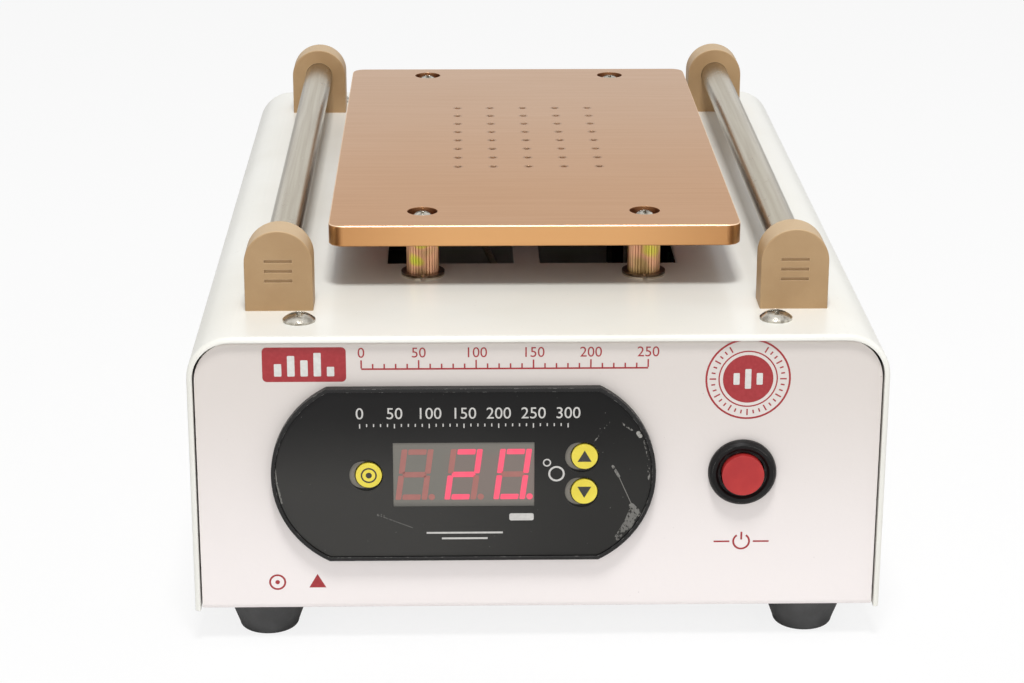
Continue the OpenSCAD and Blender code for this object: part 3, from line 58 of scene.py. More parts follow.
# shader kit: maths on a Wire adds Math nodes, every other node comes from Paint.node
class Wire:
    def __init__(self, paint, socket):
        self.paint = paint
        self.socket = socket

    def maths(self, operation, *values):
        return self.paint.node("ShaderNodeMath", {"operation": operation}, values)

    def __add__(self, other):
        return self.maths("ADD", self, other)

    def __radd__(self, other):
        return self.maths("ADD", other, self)

    def __sub__(self, other):
        return self.maths("SUBTRACT", self, other)

    def __rsub__(self, other):
        return self.maths("SUBTRACT", other, self)

    def __mul__(self, other):
        return self.maths("MULTIPLY", self, other)

    def __rmul__(self, other):
        return self.maths("MULTIPLY", other, self)

    def __truediv__(self, other):
        return self.maths("DIVIDE", self, other)

    def __pow__(self, other):
        return self.maths("POWER", self, other)

    def __gt__(self, other):
        return self.maths("GREATER_THAN", self, other)

    def __lt__(self, other):
        return self.maths("LESS_THAN", self, other)

    def __abs__(self):
        return self.maths("ABSOLUTE", self)

    def lowest(self, other):
        return self.maths("MINIMUM", self, other)

    def highest(self, other):
        return self.maths("MAXIMUM", self, other)

    def between(self, low, high):  # 0 at low, 1 at high, smooth
        return self.paint.node("ShaderNodeMapRange", {"interpolation_type": "SMOOTHSTEP"},
                               {"Value": self, "From Min": low, "From Max": high})


class Paint:
    def __init__(self, name, world=None):
        self.material = world or bpy.data.materials.new(name)
        self.material.use_nodes = True
        self.tree = self.material.node_tree
        self.surface = self.tree.nodes["Background" if world else "Principled BSDF"]
        self.place = self.node("ShaderNodeTexCoord", out="Object")

    def node(self, kind, settings=None, sockets=(), out=0):
        made = self.tree.nodes.new(kind)
        for key, value in (settings or {}).items():
            if key == "stops":
                for i, (position, colour) in enumerate(value):
                    stop = made.color_ramp.elements[i] if i < 2 else made.color_ramp.elements.new(position)
                    stop.position, stop.color = position, colour
            else:
                setattr(made, key, value)
        pairs = sockets.items() if isinstance(sockets, dict) else enumerate(sockets)
        for key, value in pairs:
            self.plug(made.inputs[key], value)
        return Wire(self, made.outputs[out])

    def plug(self, socket, value):
        if isinstance(value, Wire):
            self.tree.links.new(value.socket, socket)
        else:
            socket.default_value = value

    def spread(self, stretch=(1, 1, 1), turn=(0, 0, 0)):
        return self.node("ShaderNodeMapping", None, {
            "Vector": self.place, "Scale": stretch, "Rotation": turn})

    def noise(self, size, detail=2.0, stretch=(1, 1, 1), turn=(0, 0, 0)):
        return self.node("ShaderNodeTexNoise", None, {
            "Vector": self.spread(stretch, turn), "Scale": 1 / size, "Detail": detail})

    def cells(self, size, out="Distance"):
        return self.node("ShaderNodeTexVoronoi", None, {"Vector": self.spread(), "Scale": 1 / size}, out)

    def bands(self, size, direction, bend=0.0):
        wave = 0.314  # the wave texture's own length at scale 1
        return self.node("ShaderNodeTexWave", {"bands_direction": direction}, {
            "Vector": self.spread(), "Scale": wave / size, "Distortion": bend})

    def rays(self, kind):
        return self.node("ShaderNodeLightPath", out="Is %s Ray" % kind)

    def axis(self, letter):
        return self.node("ShaderNodeSeparateXYZ", None, [self.place], letter)

    def mix(self, share, first, second):
        return self.node("ShaderNodeMix", {"data_type": "RGBA"}, {0: share, 6: first, 7: second}, 2)

    def ramp(self, wire, stops):
        return self.node("ShaderNodeValToRGB", {"stops": stops}, [wire])

    def edges(self, radius):  # 1 on an outer edge, 0 on the flats
        soft = self.node("ShaderNodeBevel", {"samples": 6}, {"Radius": radius})
        true = self.node("ShaderNodeNewGeometry", out="True Normal")
        return 1 - self.node("ShaderNodeVectorMath", {"operation": "DOT_PRODUCT"}, [soft, true], "Value")

    def streak(self, start, end, width):  # 1 on a thin line between two places of the front, in mm
        x, z = self.axis("X"), self.axis("Z")
        ax, az, dx, dz = start[0] * mm, start[1] * mm, (end[0] - start[0]) * mm, (end[1] - start[1]) * mm
        along = ((x - ax) * dx + (z - az) * dz) / (dx * dx + dz * dz)
        along = along.highest(0.0).lowest(1.0)
        far = ((x - ax - along * dx) ** 2 + (z - az - along * dz) ** 2) ** 0.5
        return far < width * mm

    def done(self, colour, rough, metal=0.0, height=None, depth=0.0001, edge=0.0, **more):
        self.plug(self.surface.inputs["Base Color"], colour)
        self.plug(self.surface.inputs["Roughness"], rough)
        self.plug(self.surface.inputs["Metallic"], metal)
        for key, value in more.items():
            self.plug(self.surface.inputs[key.replace("_", " ")], value)
        sockets = {"Strength": 1.0, "Distance": depth}
        if height is not None:
            sockets["Height"] = height
        if edge:
            sockets["Normal"] = self.node("ShaderNodeBevel", {"samples": 4}, {"Radius": edge})
        if height is not None or edge:
            self.plug(self.surface.inputs["Normal"], self.node("ShaderNodeBump", None, sockets))
        return self.material


# sheet metal
def whitePaint():
    look = {"clean": srgb(241, 240, 233), "dusty": srgb(234, 232, 223), "speck": srgb(150, 140, 125),
            "peel": 0.0022, "grain": 0.0005}
    p = Paint("white_paint")
    cloud = p.noise(0.06, 4)
    peel = p.noise(look["peel"], 2)
    specks = (p.noise(0.0013, 1) > 0.77) * 0.12
    colour = p.mix(cloud.between(0.35, 0.75), look["clean"], look["dusty"])
    colour = p.mix(specks, colour, look["speck"])
    return p.done(colour, 0.3 + 0.16 * cloud, 0.0, peel + 0.3 * p.noise(look["grain"], 1), 0.00003, 0.0003,
                  Coat_Weight=0.2, Coat_Roughness=0.15)


def panelPaint():
    look = {"top": srgb(220, 212, 206), "low": srgb(244, 237, 235), "bare": srgb(120, 112, 102),
            "rise": (12, 84)}
    p = Paint("panel_paint")
    cloud = p.noise(0.05, 3)
    # painted shade: the panel is darker towards its top and paler low down, as the light falls on it
    rise = p.axis("Z").between(*(k * mm for k in look["rise"]))
    colour = p.mix(rise, look["low"], look["top"])
    chips = (p.edges(0.0004) > 0.22) * (p.noise(0.0021, 3) > 0.62)
    dirt = (p.noise(0.0011, 1) > 0.8) * 0.25
    colour = p.mix(chips.highest(dirt), colour, look["bare"])
    return p.done(colour, 0.36 + 0.14 * cloud, 0.0, p.noise(0.0016, 2), 0.00003, Coat_Weight=0.15,
                  Coat_Roughness=0.2)


def printInk(name, ink):
    p = Paint(name)
    worn = p.noise(0.0009, 3)
    colour = p.mix(worn.between(0.3, 0.8) * 0.25, ink, tuple(min(1, c * 1.5 + 0.03) for c in ink[:3]) + (1,))
    return p.done(colour, 0.42 + 0.1 * worn, 0.0, worn, 0.00001)


# metals
def zincScrew():
    look = {"bright": srgb(198, 194, 184), "dull": srgb(142, 136, 126), "deep": srgb(84, 76, 66)}
    p = Paint("zinc_screw")
    cloud = p.noise(0.0016, 3)
    lines = p.noise(0.0007, 2, (1, 1, 7))
    colour = p.mix(cloud.between(0.35, 0.7), look["bright"], look["dull"])
    colour = p.mix((p.noise(0.0009, 2) > 0.66) * 0.3, colour, look["deep"])
    return p.done(colour, 0.16 + 0.2 * cloud, 1.0, lines, 0.00003, 0.00015)


def rodSteel():
    look = {"bright": srgb(178, 170, 151), "shade": srgb(154, 143, 123), "spot": srgb(120, 104, 84)}
    p = Paint("rod_steel")
    drawn = p.noise(0.0012, 4, (1, 0.02, 1))
    spots = p.noise(0.0035, 4).between(0.64, 0.78)
    colour = p.mix(drawn.between(0.3, 0.7) * 0.7, look["bright"], look["shade"])
    colour = p.mix(spots * 0.15, colour, look["spot"])
    return p.done(colour, 0.2 + 0.1 * drawn + 0.1 * spots, 1.0, drawn, 0.00001, 0.0003)


def copperPlate():
    look = {"front": srgb(190, 143, 98), "rear": srgb(192, 156, 124), "rim": srgb(226, 200, 172),
            "edge": srgb(213, 162, 110), "sides": srgb(192, 142, 94), "bore": srgb(150, 104, 72),
            "hole": srgb(88, 60, 42), "under": srgb(142, 94, 50), "pitch": 10.3, "middle": 136.7,
            "screws": (30.5, 53.4, 219.4), "boreR": 4.2895, "ends": (44, 225), "corner": (20, 55.6),
            "low": 98.25, "high": 103.95, "chamfer": 103.72, "blunt": 103.68,
            "streak": srgb(140, 104, 74), "scratch": srgb(236, 214, 192), "columns": 2.5, "rows": 4.1}
    p = Paint("copper_plate")
    brushed = p.noise(0.0012, 4, (0.03, 1, 1))
    cloud = p.noise(0.05, 3)
    # painted reflection: the plate's top is paler towards the rear
    depth = p.axis("Y").between(*(spot(0, k, 0).y for k in look["ends"]))
    colour = p.mix(depth, look["front"], look["rear"])
    colour = p.mix((brushed.between(0.3, 0.7) + cloud) * 0.07, colour, look["streak"])
    x, y, z = p.axis("X"), p.axis("Y") - panelY, p.axis("Z")
    top = z > look["high"] * mm
    # painted reflection on the side faces, lighter mid-way along than at the corners; painted highlight on
    # the chamfer's top, in the rim colour
    side = p.mix(abs(x).between(*(k * mm for k in look["corner"])), look["edge"], look["sides"])
    colour = p.mix(top, p.mix(z > look["chamfer"] * mm, side, look["rim"]), colour)
    # darker round each suction hole, inside their field only
    column, row = x / (look["pitch"] * mm), (y - look["middle"] * mm) / (look["pitch"] * mm) + 0.5
    column, middle = column - column.maths("ROUND", column), abs(row - 0.5) < look["rows"]
    field = (abs(x) < look["columns"] * look["pitch"] * mm) * middle * top
    row = row - row.maths("ROUND", row)
    holeRing = (1 - ((column * column + row * row) ** 0.5).between(0.1, 0.17)) * field
    colour = p.mix(holeRing * (0.2 + 0.4 * p.noise(0.003, 2)), colour, look["hole"])
    # painted shade: the counterbores' walls and floors are darker than the plate
    across, front, rear = (k * mm for k in look["screws"])
    reach = (abs(x) - across) ** 2 + (y - front) ** 2
    far = (abs(x) - across) ** 2 + (y - rear) ** 2
    colour = p.mix((reach.lowest(far) < (look["boreR"] * mm) ** 2) * (1 - top), colour, look["bore"])
    colour = p.mix(z < look["low"] * mm, colour, look["under"])  # browned by the heater
    scratch = (p.noise(0.0009, 2, (0.012, 1, 1), (0, 0, 0.12)) > 0.74) * 0.12
    colour = p.mix(scratch * top, colour, look["scratch"])
    blunt = (z > look["blunt"] * mm) * (1 - top) * 0.2
    return p.done(colour, 0.3 + 0.08 * brushed + 0.06 * cloud + blunt, 1.0, brushed, 0.00001, 0.0001)


def passivatedZinc():
    look = {"lime": srgb(188, 200, 66), "yellow": srgb(206, 188, 90), "pink": srgb(212, 160, 130),
            "tan": srgb(180, 150, 104), "line": srgb(112, 84, 58), "middle": 93, "fade": 14}
    p = Paint("passivated_zinc")
    patch = p.noise(0.008, 1, (1, 1, 1.3))
    lines = p.noise(0.0006, 2, (1, 1, 0.04))
    rise = (p.axis("Z") - look["middle"] * mm) * -look["fade"]
    colour = p.ramp(patch + rise, [(0.37, look["lime"]), (0.48, look["yellow"]), (0.56, look["pink"]),
                                   (0.7, look["tan"])])
    colour = p.mix(lines.between(0.45, 0.7) * 0.16, colour, look["line"])
    return p.done(colour, 0.24 + 0.14 * lines, 1.0, lines, 0.00002, 0.00012)


def springSteel():
    look = {"brown": srgb(74, 58, 44), "light": srgb(116, 98, 80), "worn": srgb(222, 208, 186),
            "foot": (85.9, 86.45)}
    p = Paint("spring_steel")
    cloud, z = p.noise(0.002, 3), p.axis("Z")
    colour = p.mix(cloud.between(0.3, 0.7), look["brown"], look["light"])
    # painted highlight: the pale band round the washers' foot is light catching their side, not wear
    low, high = look["foot"]
    colour = p.mix((z > low * mm) * (z < high * mm) * 0.7, colour, look["worn"])
    return p.done(colour, 0.26 + 0.2 * cloud, 1.0, cloud, 0.00003, 0.0002)


def castAluminium():
    look = {"bright": srgb(196, 197, 198), "dull": srgb(164, 165, 168)}
    p = Paint("cast_aluminium")
    turned = p.noise(0.0009, 3, (1, 0.08, 1))
    colour = p.mix(turned.between(0.3, 0.7), look["bright"], look["dull"])
    return p.done(colour, 0.3 + 0.15 * turned, 1.0, turned, 0.00003, 0.0003)


def brightPin():
    look = {"bright": srgb(222, 216, 204), "dull": srgb(188, 178, 160)}
    p = Paint("bright_pin")
    cloud = p.noise(0.0015, 2)
    colour = p.mix(cloud, look["bright"], look["dull"])
    return p.done(colour, 0.14 + 0.16 * cloud, 1.0, cloud, 0.00001, 0.0002)


def motorSteel():
    look = {"bright": srgb(176, 176, 174), "dull": srgb(140, 139, 136), "spangle": 0.12}
    p = Paint("motor_steel")
    rolled = p.noise(0.0014, 3, (1, 0.2, 1))
    spangle = p.cells(0.005, "Color")
    colour = p.mix(rolled.between(0.3, 0.7) * 0.6, look["bright"], look["dull"])
    colour = p.mix(look["spangle"], colour, spangle)
    return p.done(colour, 0.26 + 0.18 * rolled, 1.0, rolled, 0.00002, 0.0003)


def machinedBrass():
    look = {"bright": srgb(214, 184, 120), "dull": srgb(178, 146, 88)}
    p = Paint("brass_shaft")
    turned = p.noise(0.0008, 3, (1, 6, 1))
    colour = p.mix(turned.between(0.3, 0.7), look["bright"], look["dull"])
    return p.done(colour, 0.2 + 0.16 * turned, 1.0, turned, 0.00002, 0.0002)


# rubber and plastics
def rubber(name, light, dark, grain=0.0007):
    p = Paint(name)
    mottle, fine = p.noise(0.006, 4), p.noise(grain, 2)
    dust = p.edges(0.0006).between(0.02, 0.3) * 0.25
    colour = p.mix(mottle.between(0.3, 0.7), dark, light)
    colour = p.mix(dust * p.noise(0.002, 3), colour, srgb(150, 146, 138))
    return p.done(colour, 0.62 + 0.16 * fine, 0.0, fine + 0.5 * mottle, 0.00005, 0.0003,
                  Specular_IOR_Level=0.3)


def plastic(name, light, dark, rough=0.42, grain=0.0006, wear=(0.6, 0.58, 0.54, 1), coat=0.0, worn=0.3,
            shine=0.4):
    p = Paint(name)
    mottle, fine = p.noise(0.009, 3), p.noise(grain, 2)
    rub = p.edges(0.0005).between(0.03, 0.3) * p.noise(0.0016, 3).between(0.42, 0.62) * worn
    colour = p.mix(rub, p.mix(mottle.between(0.3, 0.7), light, dark), wear)
    return p.done(colour, rough + 0.14 * fine, 0.0, fine + 0.3 * mottle, 0.00003, 0.00022, Coat_Weight=coat,
                  Coat_Roughness=0.12, Specular_IOR_Level=shine)


def rockerPlastic():
    look = {"red": srgb(176, 34, 32), "deep": srgb(152, 24, 26), "mark": srgb(232, 228, 222),
            "axis": (48, 64), "off": 5.2, "bar": (0.4, 1.9), "ring": (1.8, 0.35), "face": 274}
    p = Paint("rocker_plastic")
    fine = p.noise(0.0006, 2)
    x, z = p.axis("X") - look["axis"][0] * mm, p.axis("Z") - look["axis"][1] * mm
    bar = (abs(x) < look["bar"][0] * mm) * (abs(z - look["off"] * mm) < look["bar"][1] * mm)
    r, width = look["ring"]
    ring = abs((x * x + (z + look["off"] * mm) ** 2) ** 0.5 - r * mm) < width * mm
    mark = bar.highest(ring) * (p.axis("Y") > spot(0, look["face"], 0).y)
    colour = p.mix(mark, p.mix(p.noise(0.006, 2), look["red"], look["deep"]), look["mark"])
    return p.done(colour, 0.28 + 0.1 * fine, 0.0, fine, 0.00002, 0.0003, Coat_Weight=0.3, Coat_Roughness=0.1)


def capPlastic():
    look = {"face": srgb(177, 145, 105), "deep": srgb(169, 136, 96), "rubbedAndLit": srgb(214, 188, 150),
            "fleck": srgb(120, 92, 60)}
    p = Paint("cap_plastic")
    fine, mottle = p.noise(0.0005, 2), p.noise(0.012, 3)
    colour = p.mix(mottle.between(0.3, 0.72), look["face"], look["deep"])
    colour = p.mix(p.edges(0.0005).between(0.02, 0.25) * 0.4, colour, look["rubbedAndLit"])
    # painted light: faces that turn upwards are paled towards the rubbed colour, standing for the light from
    # above
    facing = p.node("ShaderNodeNewGeometry", out="Normal")
    paintedTopLight = p.node("ShaderNodeSeparateXYZ", None, [facing], "Z").between(0.2, 0.9)
    colour = p.mix(paintedTopLight * 0.55, colour, look["rubbedAndLit"])
    flecks = (p.noise(0.0011, 2) > 0.76) * 0.12
    colour = p.mix(flecks, colour, look["fleck"])
    return p.done(colour, 0.44 + 0.14 * fine, 0.0, fine + 0.3 * p.noise(0.0018, 2), 0.00003)


def bezelPlastic():
    look = {"black": srgb(22, 21, 21), "grey": srgb(31, 30, 29), "scuff": srgb(150, 148, 144),
            "lip": srgb(124, 120, 112), "lipR": 3.7014, "worn": (12, 28),
            "buttons": ((-45.95, 48.25), (10.3, 53.15), (10.3, 43.35))}
    p = Paint("bezel_plastic")
    fine = p.noise(0.0005, 2)
    colour = p.mix(p.noise(0.01, 3), look["black"], look["grey"])
    x, z = p.axis("X"), p.axis("Z")
    near = None
    for place in look["buttons"]:  # pale round the buttons, where the film's holes are a little off
        far = (x - place[0] * mm) ** 2 + (z - place[1] * mm) ** 2
        near = far if near is None else near.lowest(far)
    # painted light: the bezel's black plastic is painted pale inside the film's offset holes, standing for it
    # lit there
    colour = p.mix(near < (look["lipR"] * mm) ** 2, colour, look["lip"])
    right = x.between(*(k * mm for k in look["worn"]))
    nick = p.edges(0.0004).between(0.03, 0.2) * (p.noise(0.0014, 4) > 0.6 - 0.06 * right)
    return p.done(p.mix(nick * 0.6, colour, look["scuff"]), 0.34 + 0.14 * fine, 0.0, fine, 0.00002, 0.0004,
                  Specular_IOR_Level=0.3)


def overlayFilm():
    # scuffs on the film, and a painted highlight at its left rim: two places in mm across and up the front,
    # how wide, how broken and how pale
    look = {"top": srgb(25, 24, 24), "low": srgb(60, 59, 57), "right": srgb(10, 10, 9),
            "mark": srgb(172, 170, 164), "rise": (44, 72), "across": (-40, 20),
            "scuffsAndGlint": [((13.9, 56.5), (17.5, 61.8), 0.13, 0.52, 0.7),
                       ((21.1, 62.6), (24.3, 60.3), 0.22, 0.5, 0.5),
                       ((25.8, 59.6), (26.3, 58.8), 0.55, 0.35, 0.9),
                       ((27.3, 57.4), (28.5, 52.5), 0.2, 0.5, 0.5),
                       ((28.5, 52.5), (28.8, 46.8), 0.28, 0.5, 0.5),
                       ((19.3, 50.4), (20.9, 47.6), 0.34, 0.42, 0.5),
                       ((20.6, 48.2), (24.3, 39.8), 0.1, 0.3, 0.45),
                       ((24.4, 39.2), (26.6, 36.8), 0.75, 0.44, 0.45),
                       ((24.8, 37.2), (23.4, 33.6), 1.3, 0.42, 0.4),
                       ((23.2, 34.4), (20.8, 30.2), 0.8, 0.47, 0.35),
                       # the next two: a worn streak along the film's left rim, painted pale as its highlight
                       ((-68.9, 53), (-68.4, 46.5), 0.16, 0.42, 0.5),
                       ((-68.4, 46.5), (-67.2, 40.6), 0.22, 0.42, 0.45),
                       ((-41.8, 36.9), (-33.1, 33.4), 0.12, 0.4, 0.22),
                       ((-42, 37.1), (-40.8, 36.8), 0.4, 0.5, 0.25)]}
    p = Paint("overlay_film")
    fine, haze = p.noise(0.0004, 2), p.noise(0.03, 3)
    rise, across = ([k * mm for k in look[name]] for name in ("rise", "across"))
    # painted reflection: the black film is paler low down and darker towards the right
    colour = p.mix((p.axis("Z") + 0.006 * haze).between(*rise), look["low"], look["top"])
    colour = p.mix(p.axis("X").between(*across) * 0.5, colour, look["right"])
    grit = p.noise(0.0006, 4, (1, 1, 0.6))
    marks = (p.noise(0.0006, 1) > 0.8) * 0.35
    for start, end, width, gaps, pale in look["scuffsAndGlint"]:
        marks = marks.highest(p.streak(start, end, width) * grit.between(gaps - 0.04, gaps + 0.08) * pale)
    colour = p.mix(marks, colour, look["mark"])
    return p.done(colour, 0.26 + 0.1 * fine + 0.3 * marks, 0.0, fine, 0.00001, Specular_IOR_Level=0.16,
                  Coat_Weight=0.03, Coat_Roughness=0.15)


def displayGrey():
    look = {"grey": srgb(121, 118, 111), "low": srgb(104, 102, 97), "glow": srgb(150, 112, 108),
            "bottom": (39.6, 41.2), "lit": (-26.5, -20), "middle": 48.3, "fade": (4, 8.5)}
    p = Paint("display_grey")
    fine = p.noise(0.0004, 2)
    span = {k: [a * mm for a in look[k]] for k in ("bottom", "lit", "fade")}
    colour = p.mix((p.axis("Z") + 0.0004 * fine).between(*span["bottom"]), look["low"], look["grey"])
    glow = 1 - abs(p.axis("Z") - look["middle"] * mm).between(*span["fade"])
    glow = glow * p.axis("X").between(*span["lit"])
    colour = p.mix(glow * 0.22, colour, look["glow"])
    return p.done(colour, 0.32 + 0.1 * fine, 0.0, fine, 0.00001, Specular_IOR_Level=0.3)


def litSegment():
    look = {"body": srgb(120, 30, 44), "light": srgb(255, 100, 126), "core": srgb(255, 116, 138)}
    p = Paint("segment_lit")
    core = p.noise(0.002, 1)
    glow = p.mix(core, look["light"], look["core"])
    return p.done(look["body"], 0.5 + 0.05 * core, 0.0, Emission_Color=glow, Emission_Strength=0.85,
                  Specular_IOR_Level=0.1)


def darkSegment():
    look = {"light": srgb(172, 112, 104), "dark": srgb(158, 104, 98)}
    p = Paint("segment_dark")
    core = p.noise(0.002, 1)
    return p.done(p.mix(core, look["light"], look["dark"]), 0.35 + 0.05 * core, 0.0, core, 0.00001)


def boardGreen():
    look = {"mask": srgb(24, 88, 48), "track": srgb(58, 128, 76), "pad": srgb(196, 190, 170)}
    p = Paint("board_green")
    tracks = p.cells(0.006, "Color")
    route = (p.bands(0.0022, "X", 4.0) > 0.62) * (p.noise(0.012, 1) > 0.5)
    pads = (p.cells(0.0042) < 0.16) * (p.noise(0.014, 1) > 0.47)
    colour = p.mix(0.06, p.mix(route, look["mask"], look["track"]), tracks)
    colour = p.mix(pads, colour, look["pad"])
    return p.done(colour, 0.26 + 0.1 * p.noise(0.002, 2), pads * 0.9, route + 2 * pads, 0.00003)


def siliconeHeater():
    look = {"light": srgb(186, 84, 56), "dark": srgb(152, 62, 42), "weave": 0.0012}
    p = Paint("silicone_heater")
    weave = p.bands(look["weave"], "X") * p.bands(look["weave"], "Y")
    colour = p.mix(p.noise(0.01, 3), look["light"], look["dark"])
    return p.done(colour, 0.55 + 0.1 * weave, 0.0, weave, 0.00012, 0.0003)


def fuseGlass():
    look = {"glass": srgb(206, 210, 208), "cap": srgb(184, 182, 172), "middle": 48.2, "seam": 0.1}
    p = Paint("fuse_glass")
    ends = abs(p.axis("Z") - look["middle"] * mm) > look["seam"] * mm
    return p.done(p.mix(ends * 0.4, look["glass"], look["cap"]), 0.15 + 0.03 * p.noise(0.002, 2), 0.4)


def wrappedCore():
    look = {"tape": srgb(214, 184, 62), "seam": srgb(190, 156, 44), "base": srgb(38, 36, 36), "baseTop": 24.5}
    p = Paint("transformer_core")
    tape = p.bands(0.0045, "Z")
    colour = p.mix(tape.between(0.2, 0.8), look["tape"], look["seam"])
    colour = p.mix(p.axis("Z") < look["baseTop"] * mm, colour, look["base"])
    return p.done(colour, 0.34 + 0.1 * p.noise(0.002, 2), 0.0, tape, 0.00008, 0.0004)


def capacitorSleeve():
    look = {"sleeve": srgb(30, 36, 62), "stripe": srgb(184, 186, 190), "can": srgb(196, 197, 198),
            "top": (66, 150, 52.65), "canR": 7.3007, "stripeX": -6.8, "score": 0.4}
    p = Paint("capacitor_sleeve")
    place = spot(*look["top"])
    x, y, top = p.axis("X") - place.x, p.axis("Y") - place.y, p.axis("Z") > place.z
    can = top * ((x * x + y * y) < (look["canR"] * mm) ** 2)
    stripe = (x < look["stripeX"] * mm) * (1 - top)
    thin = look["score"] * mm
    score = ((abs(x + y) < thin).highest(abs(x - y) < thin)) * can
    colour = p.mix(stripe, look["sleeve"], look["stripe"])
    colour = p.mix(can, colour, look["can"])
    return p.done(colour, 0.22 + 0.1 * p.noise(0.002, 2), can, 1 - score, 0.0003, 0.0004)


def clearSilicone():
    look = {"light": srgb(222, 219, 208), "dark": srgb(206, 200, 184)}
    p = Paint("clear_silicone")
    cloud = p.noise(0.004, 3)
    return p.done(p.mix(cloud, look["light"], look["dark"]), 0.28 + 0.12 * cloud, 0.0, cloud, 0.00004,
                  Subsurface_Weight=0.2, Subsurface_Scale=0.002)


def leadSkin(name, light, dark):
    p = Paint(name)
    fine = p.noise(0.0012, 3)
    return p.done(p.mix(fine.between(0.3, 0.7), light, dark), 0.38 + 0.14 * fine, 0.0, fine, 0.00003,
                  Coat_Weight=0.15, Coat_Roughness=0.2)


redInk = printInk("print_red", srgb(158, 36, 42))
whiteInk = printInk("print_white", srgb(214, 213, 208))
greyInk = printInk("print_grey", srgb(196, 194, 190))
blackInk = printInk("print_black", srgb(44, 42, 38))
blackPlastic = plastic("black_plastic", srgb(38, 37, 36), srgb(29, 28, 28))
zinc = zincScrew()
cap = capPlastic()
red = plastic("red_plastic", srgb(188, 52, 50), srgb(172, 42, 44), 0.32, 0.0012, srgb(214, 120, 110), 0.1,
              0.2, 0.3)
yellow = plastic("yellow_plastic", srgb(238, 220, 78), srgb(226, 206, 62), 0.38, 0.0008,
                 srgb(250, 240, 170), 0.2)
nylon = plastic("white_nylon", srgb(232, 230, 222), srgb(218, 215, 204), 0.4, 0.0009, srgb(244, 242, 236))
pumpPlastic = plastic("pump_plastic", srgb(56, 56, 58), srgb(40, 40, 43), 0.5, 0.0009)
green = boardGreen()
motor = motorSteel()

finishes = {
    "chassis": panelPaint(), "cover": whitePaint(),
    "feet": rubber("foot_rubber", srgb(76, 76, 76), srgb(66, 66, 66)),
    "left_rod": rodSteel(), "hot_plate": copperPlate(),
    "standoffs": passivatedZinc(), "spring_washers": springSteel(), "heater_pad": siliconeHeater(),
    "vacuum_manifold": castAluminium(),
    "manifold_gasket": rubber("red_silicone", srgb(188, 56, 48), srgb(164, 44, 38)),
    "thermal_cutout": blackPlastic, "controller_bezel": bezelPlastic(), "controller_overlay": overlayFilm(),
    "led_display": displayGrey(), "controller_board": green, "supply_board": green, "set_button": yellow,
    "up_button": yellow, "down_button": yellow, "tact_switches": blackPlastic,
    "start_switch_body": plastic("switch_black", srgb(20, 19, 19), srgb(15, 14, 14), 0.3, 0.0014, shine=0.2),
    "start_button": red, "start_switch_nut": nylon, "inlet_housing": blackPlastic, "inlet_pins": brightPin(),
    "fuse_drawer": blackPlastic, "fuse": fuseGlass(), "power_rocker": rockerPlastic(),
    "supply_transformer": wrappedCore(), "supply_capacitor": capacitorSleeve(),
    "heater_relay": plastic("relay_blue", srgb(36, 88, 178), srgb(28, 74, 158), 0.36, 0.001,
                            srgb(130, 160, 214)),
    "terminal_block": plastic("block_green", srgb(48, 142, 84), srgb(38, 124, 70), 0.4, 0.001,
                              srgb(140, 200, 160)),
    "board_posts": nylon, "pump_motor": motor, "pump_bracket": motor, "pump_rotor": machinedBrass(),
    "pump_crankcase": pumpPlastic, "pump_valve_head": pumpPlastic,
    "pump_diaphragm": rubber("diaphragm_rubber", srgb(62, 62, 62), srgb(46, 46, 46)),
}
finishes["right_rod"] = finishes["left_rod"]
for name in ("foot_screws", "foot_nuts", "cover_screws", "end_cap_screws", "plate_screws", "standoff_nuts",
             "underside_screws", "controller_screws", "inlet_screws", "pump_screws"):
    finishes[name] = zinc
for end in ("front", "rear"):
    for side in ("left", "right"):
        finishes["%s_%s_end_cap" % (end, side)] = cap
for name, finish in finishes.items():
    nodes[name].data.materials.clear()
    nodes[name].data.materials.append(finish)
print("finishes on,", len(finishes), "nodes")


# pieces
def toFrame(bm, place):  # from mm round a place of the part to metres in the frame
    bmesh.ops.transform(bm, matrix=Matrix.Translation(spot(*place)) @ Matrix.Scale(mm, 4), verts=bm.verts)


def keep(bm, name, finish, body, smooth=None):
    mesh = bpy.data.meshes.new(name)
    bm.to_mesh(mesh)
    bm.free()
    piece = bpy.data.objects.new(name, mesh)
    bpy.context.scene.collection.objects.link(piece)
    mesh.materials.append(finish)
    if smooth is not None:
        mesh.shade_smooth()
        mesh.set_sharp_from_angle(angle=math.radians(smooth))
    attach(piece, body)
    return piece


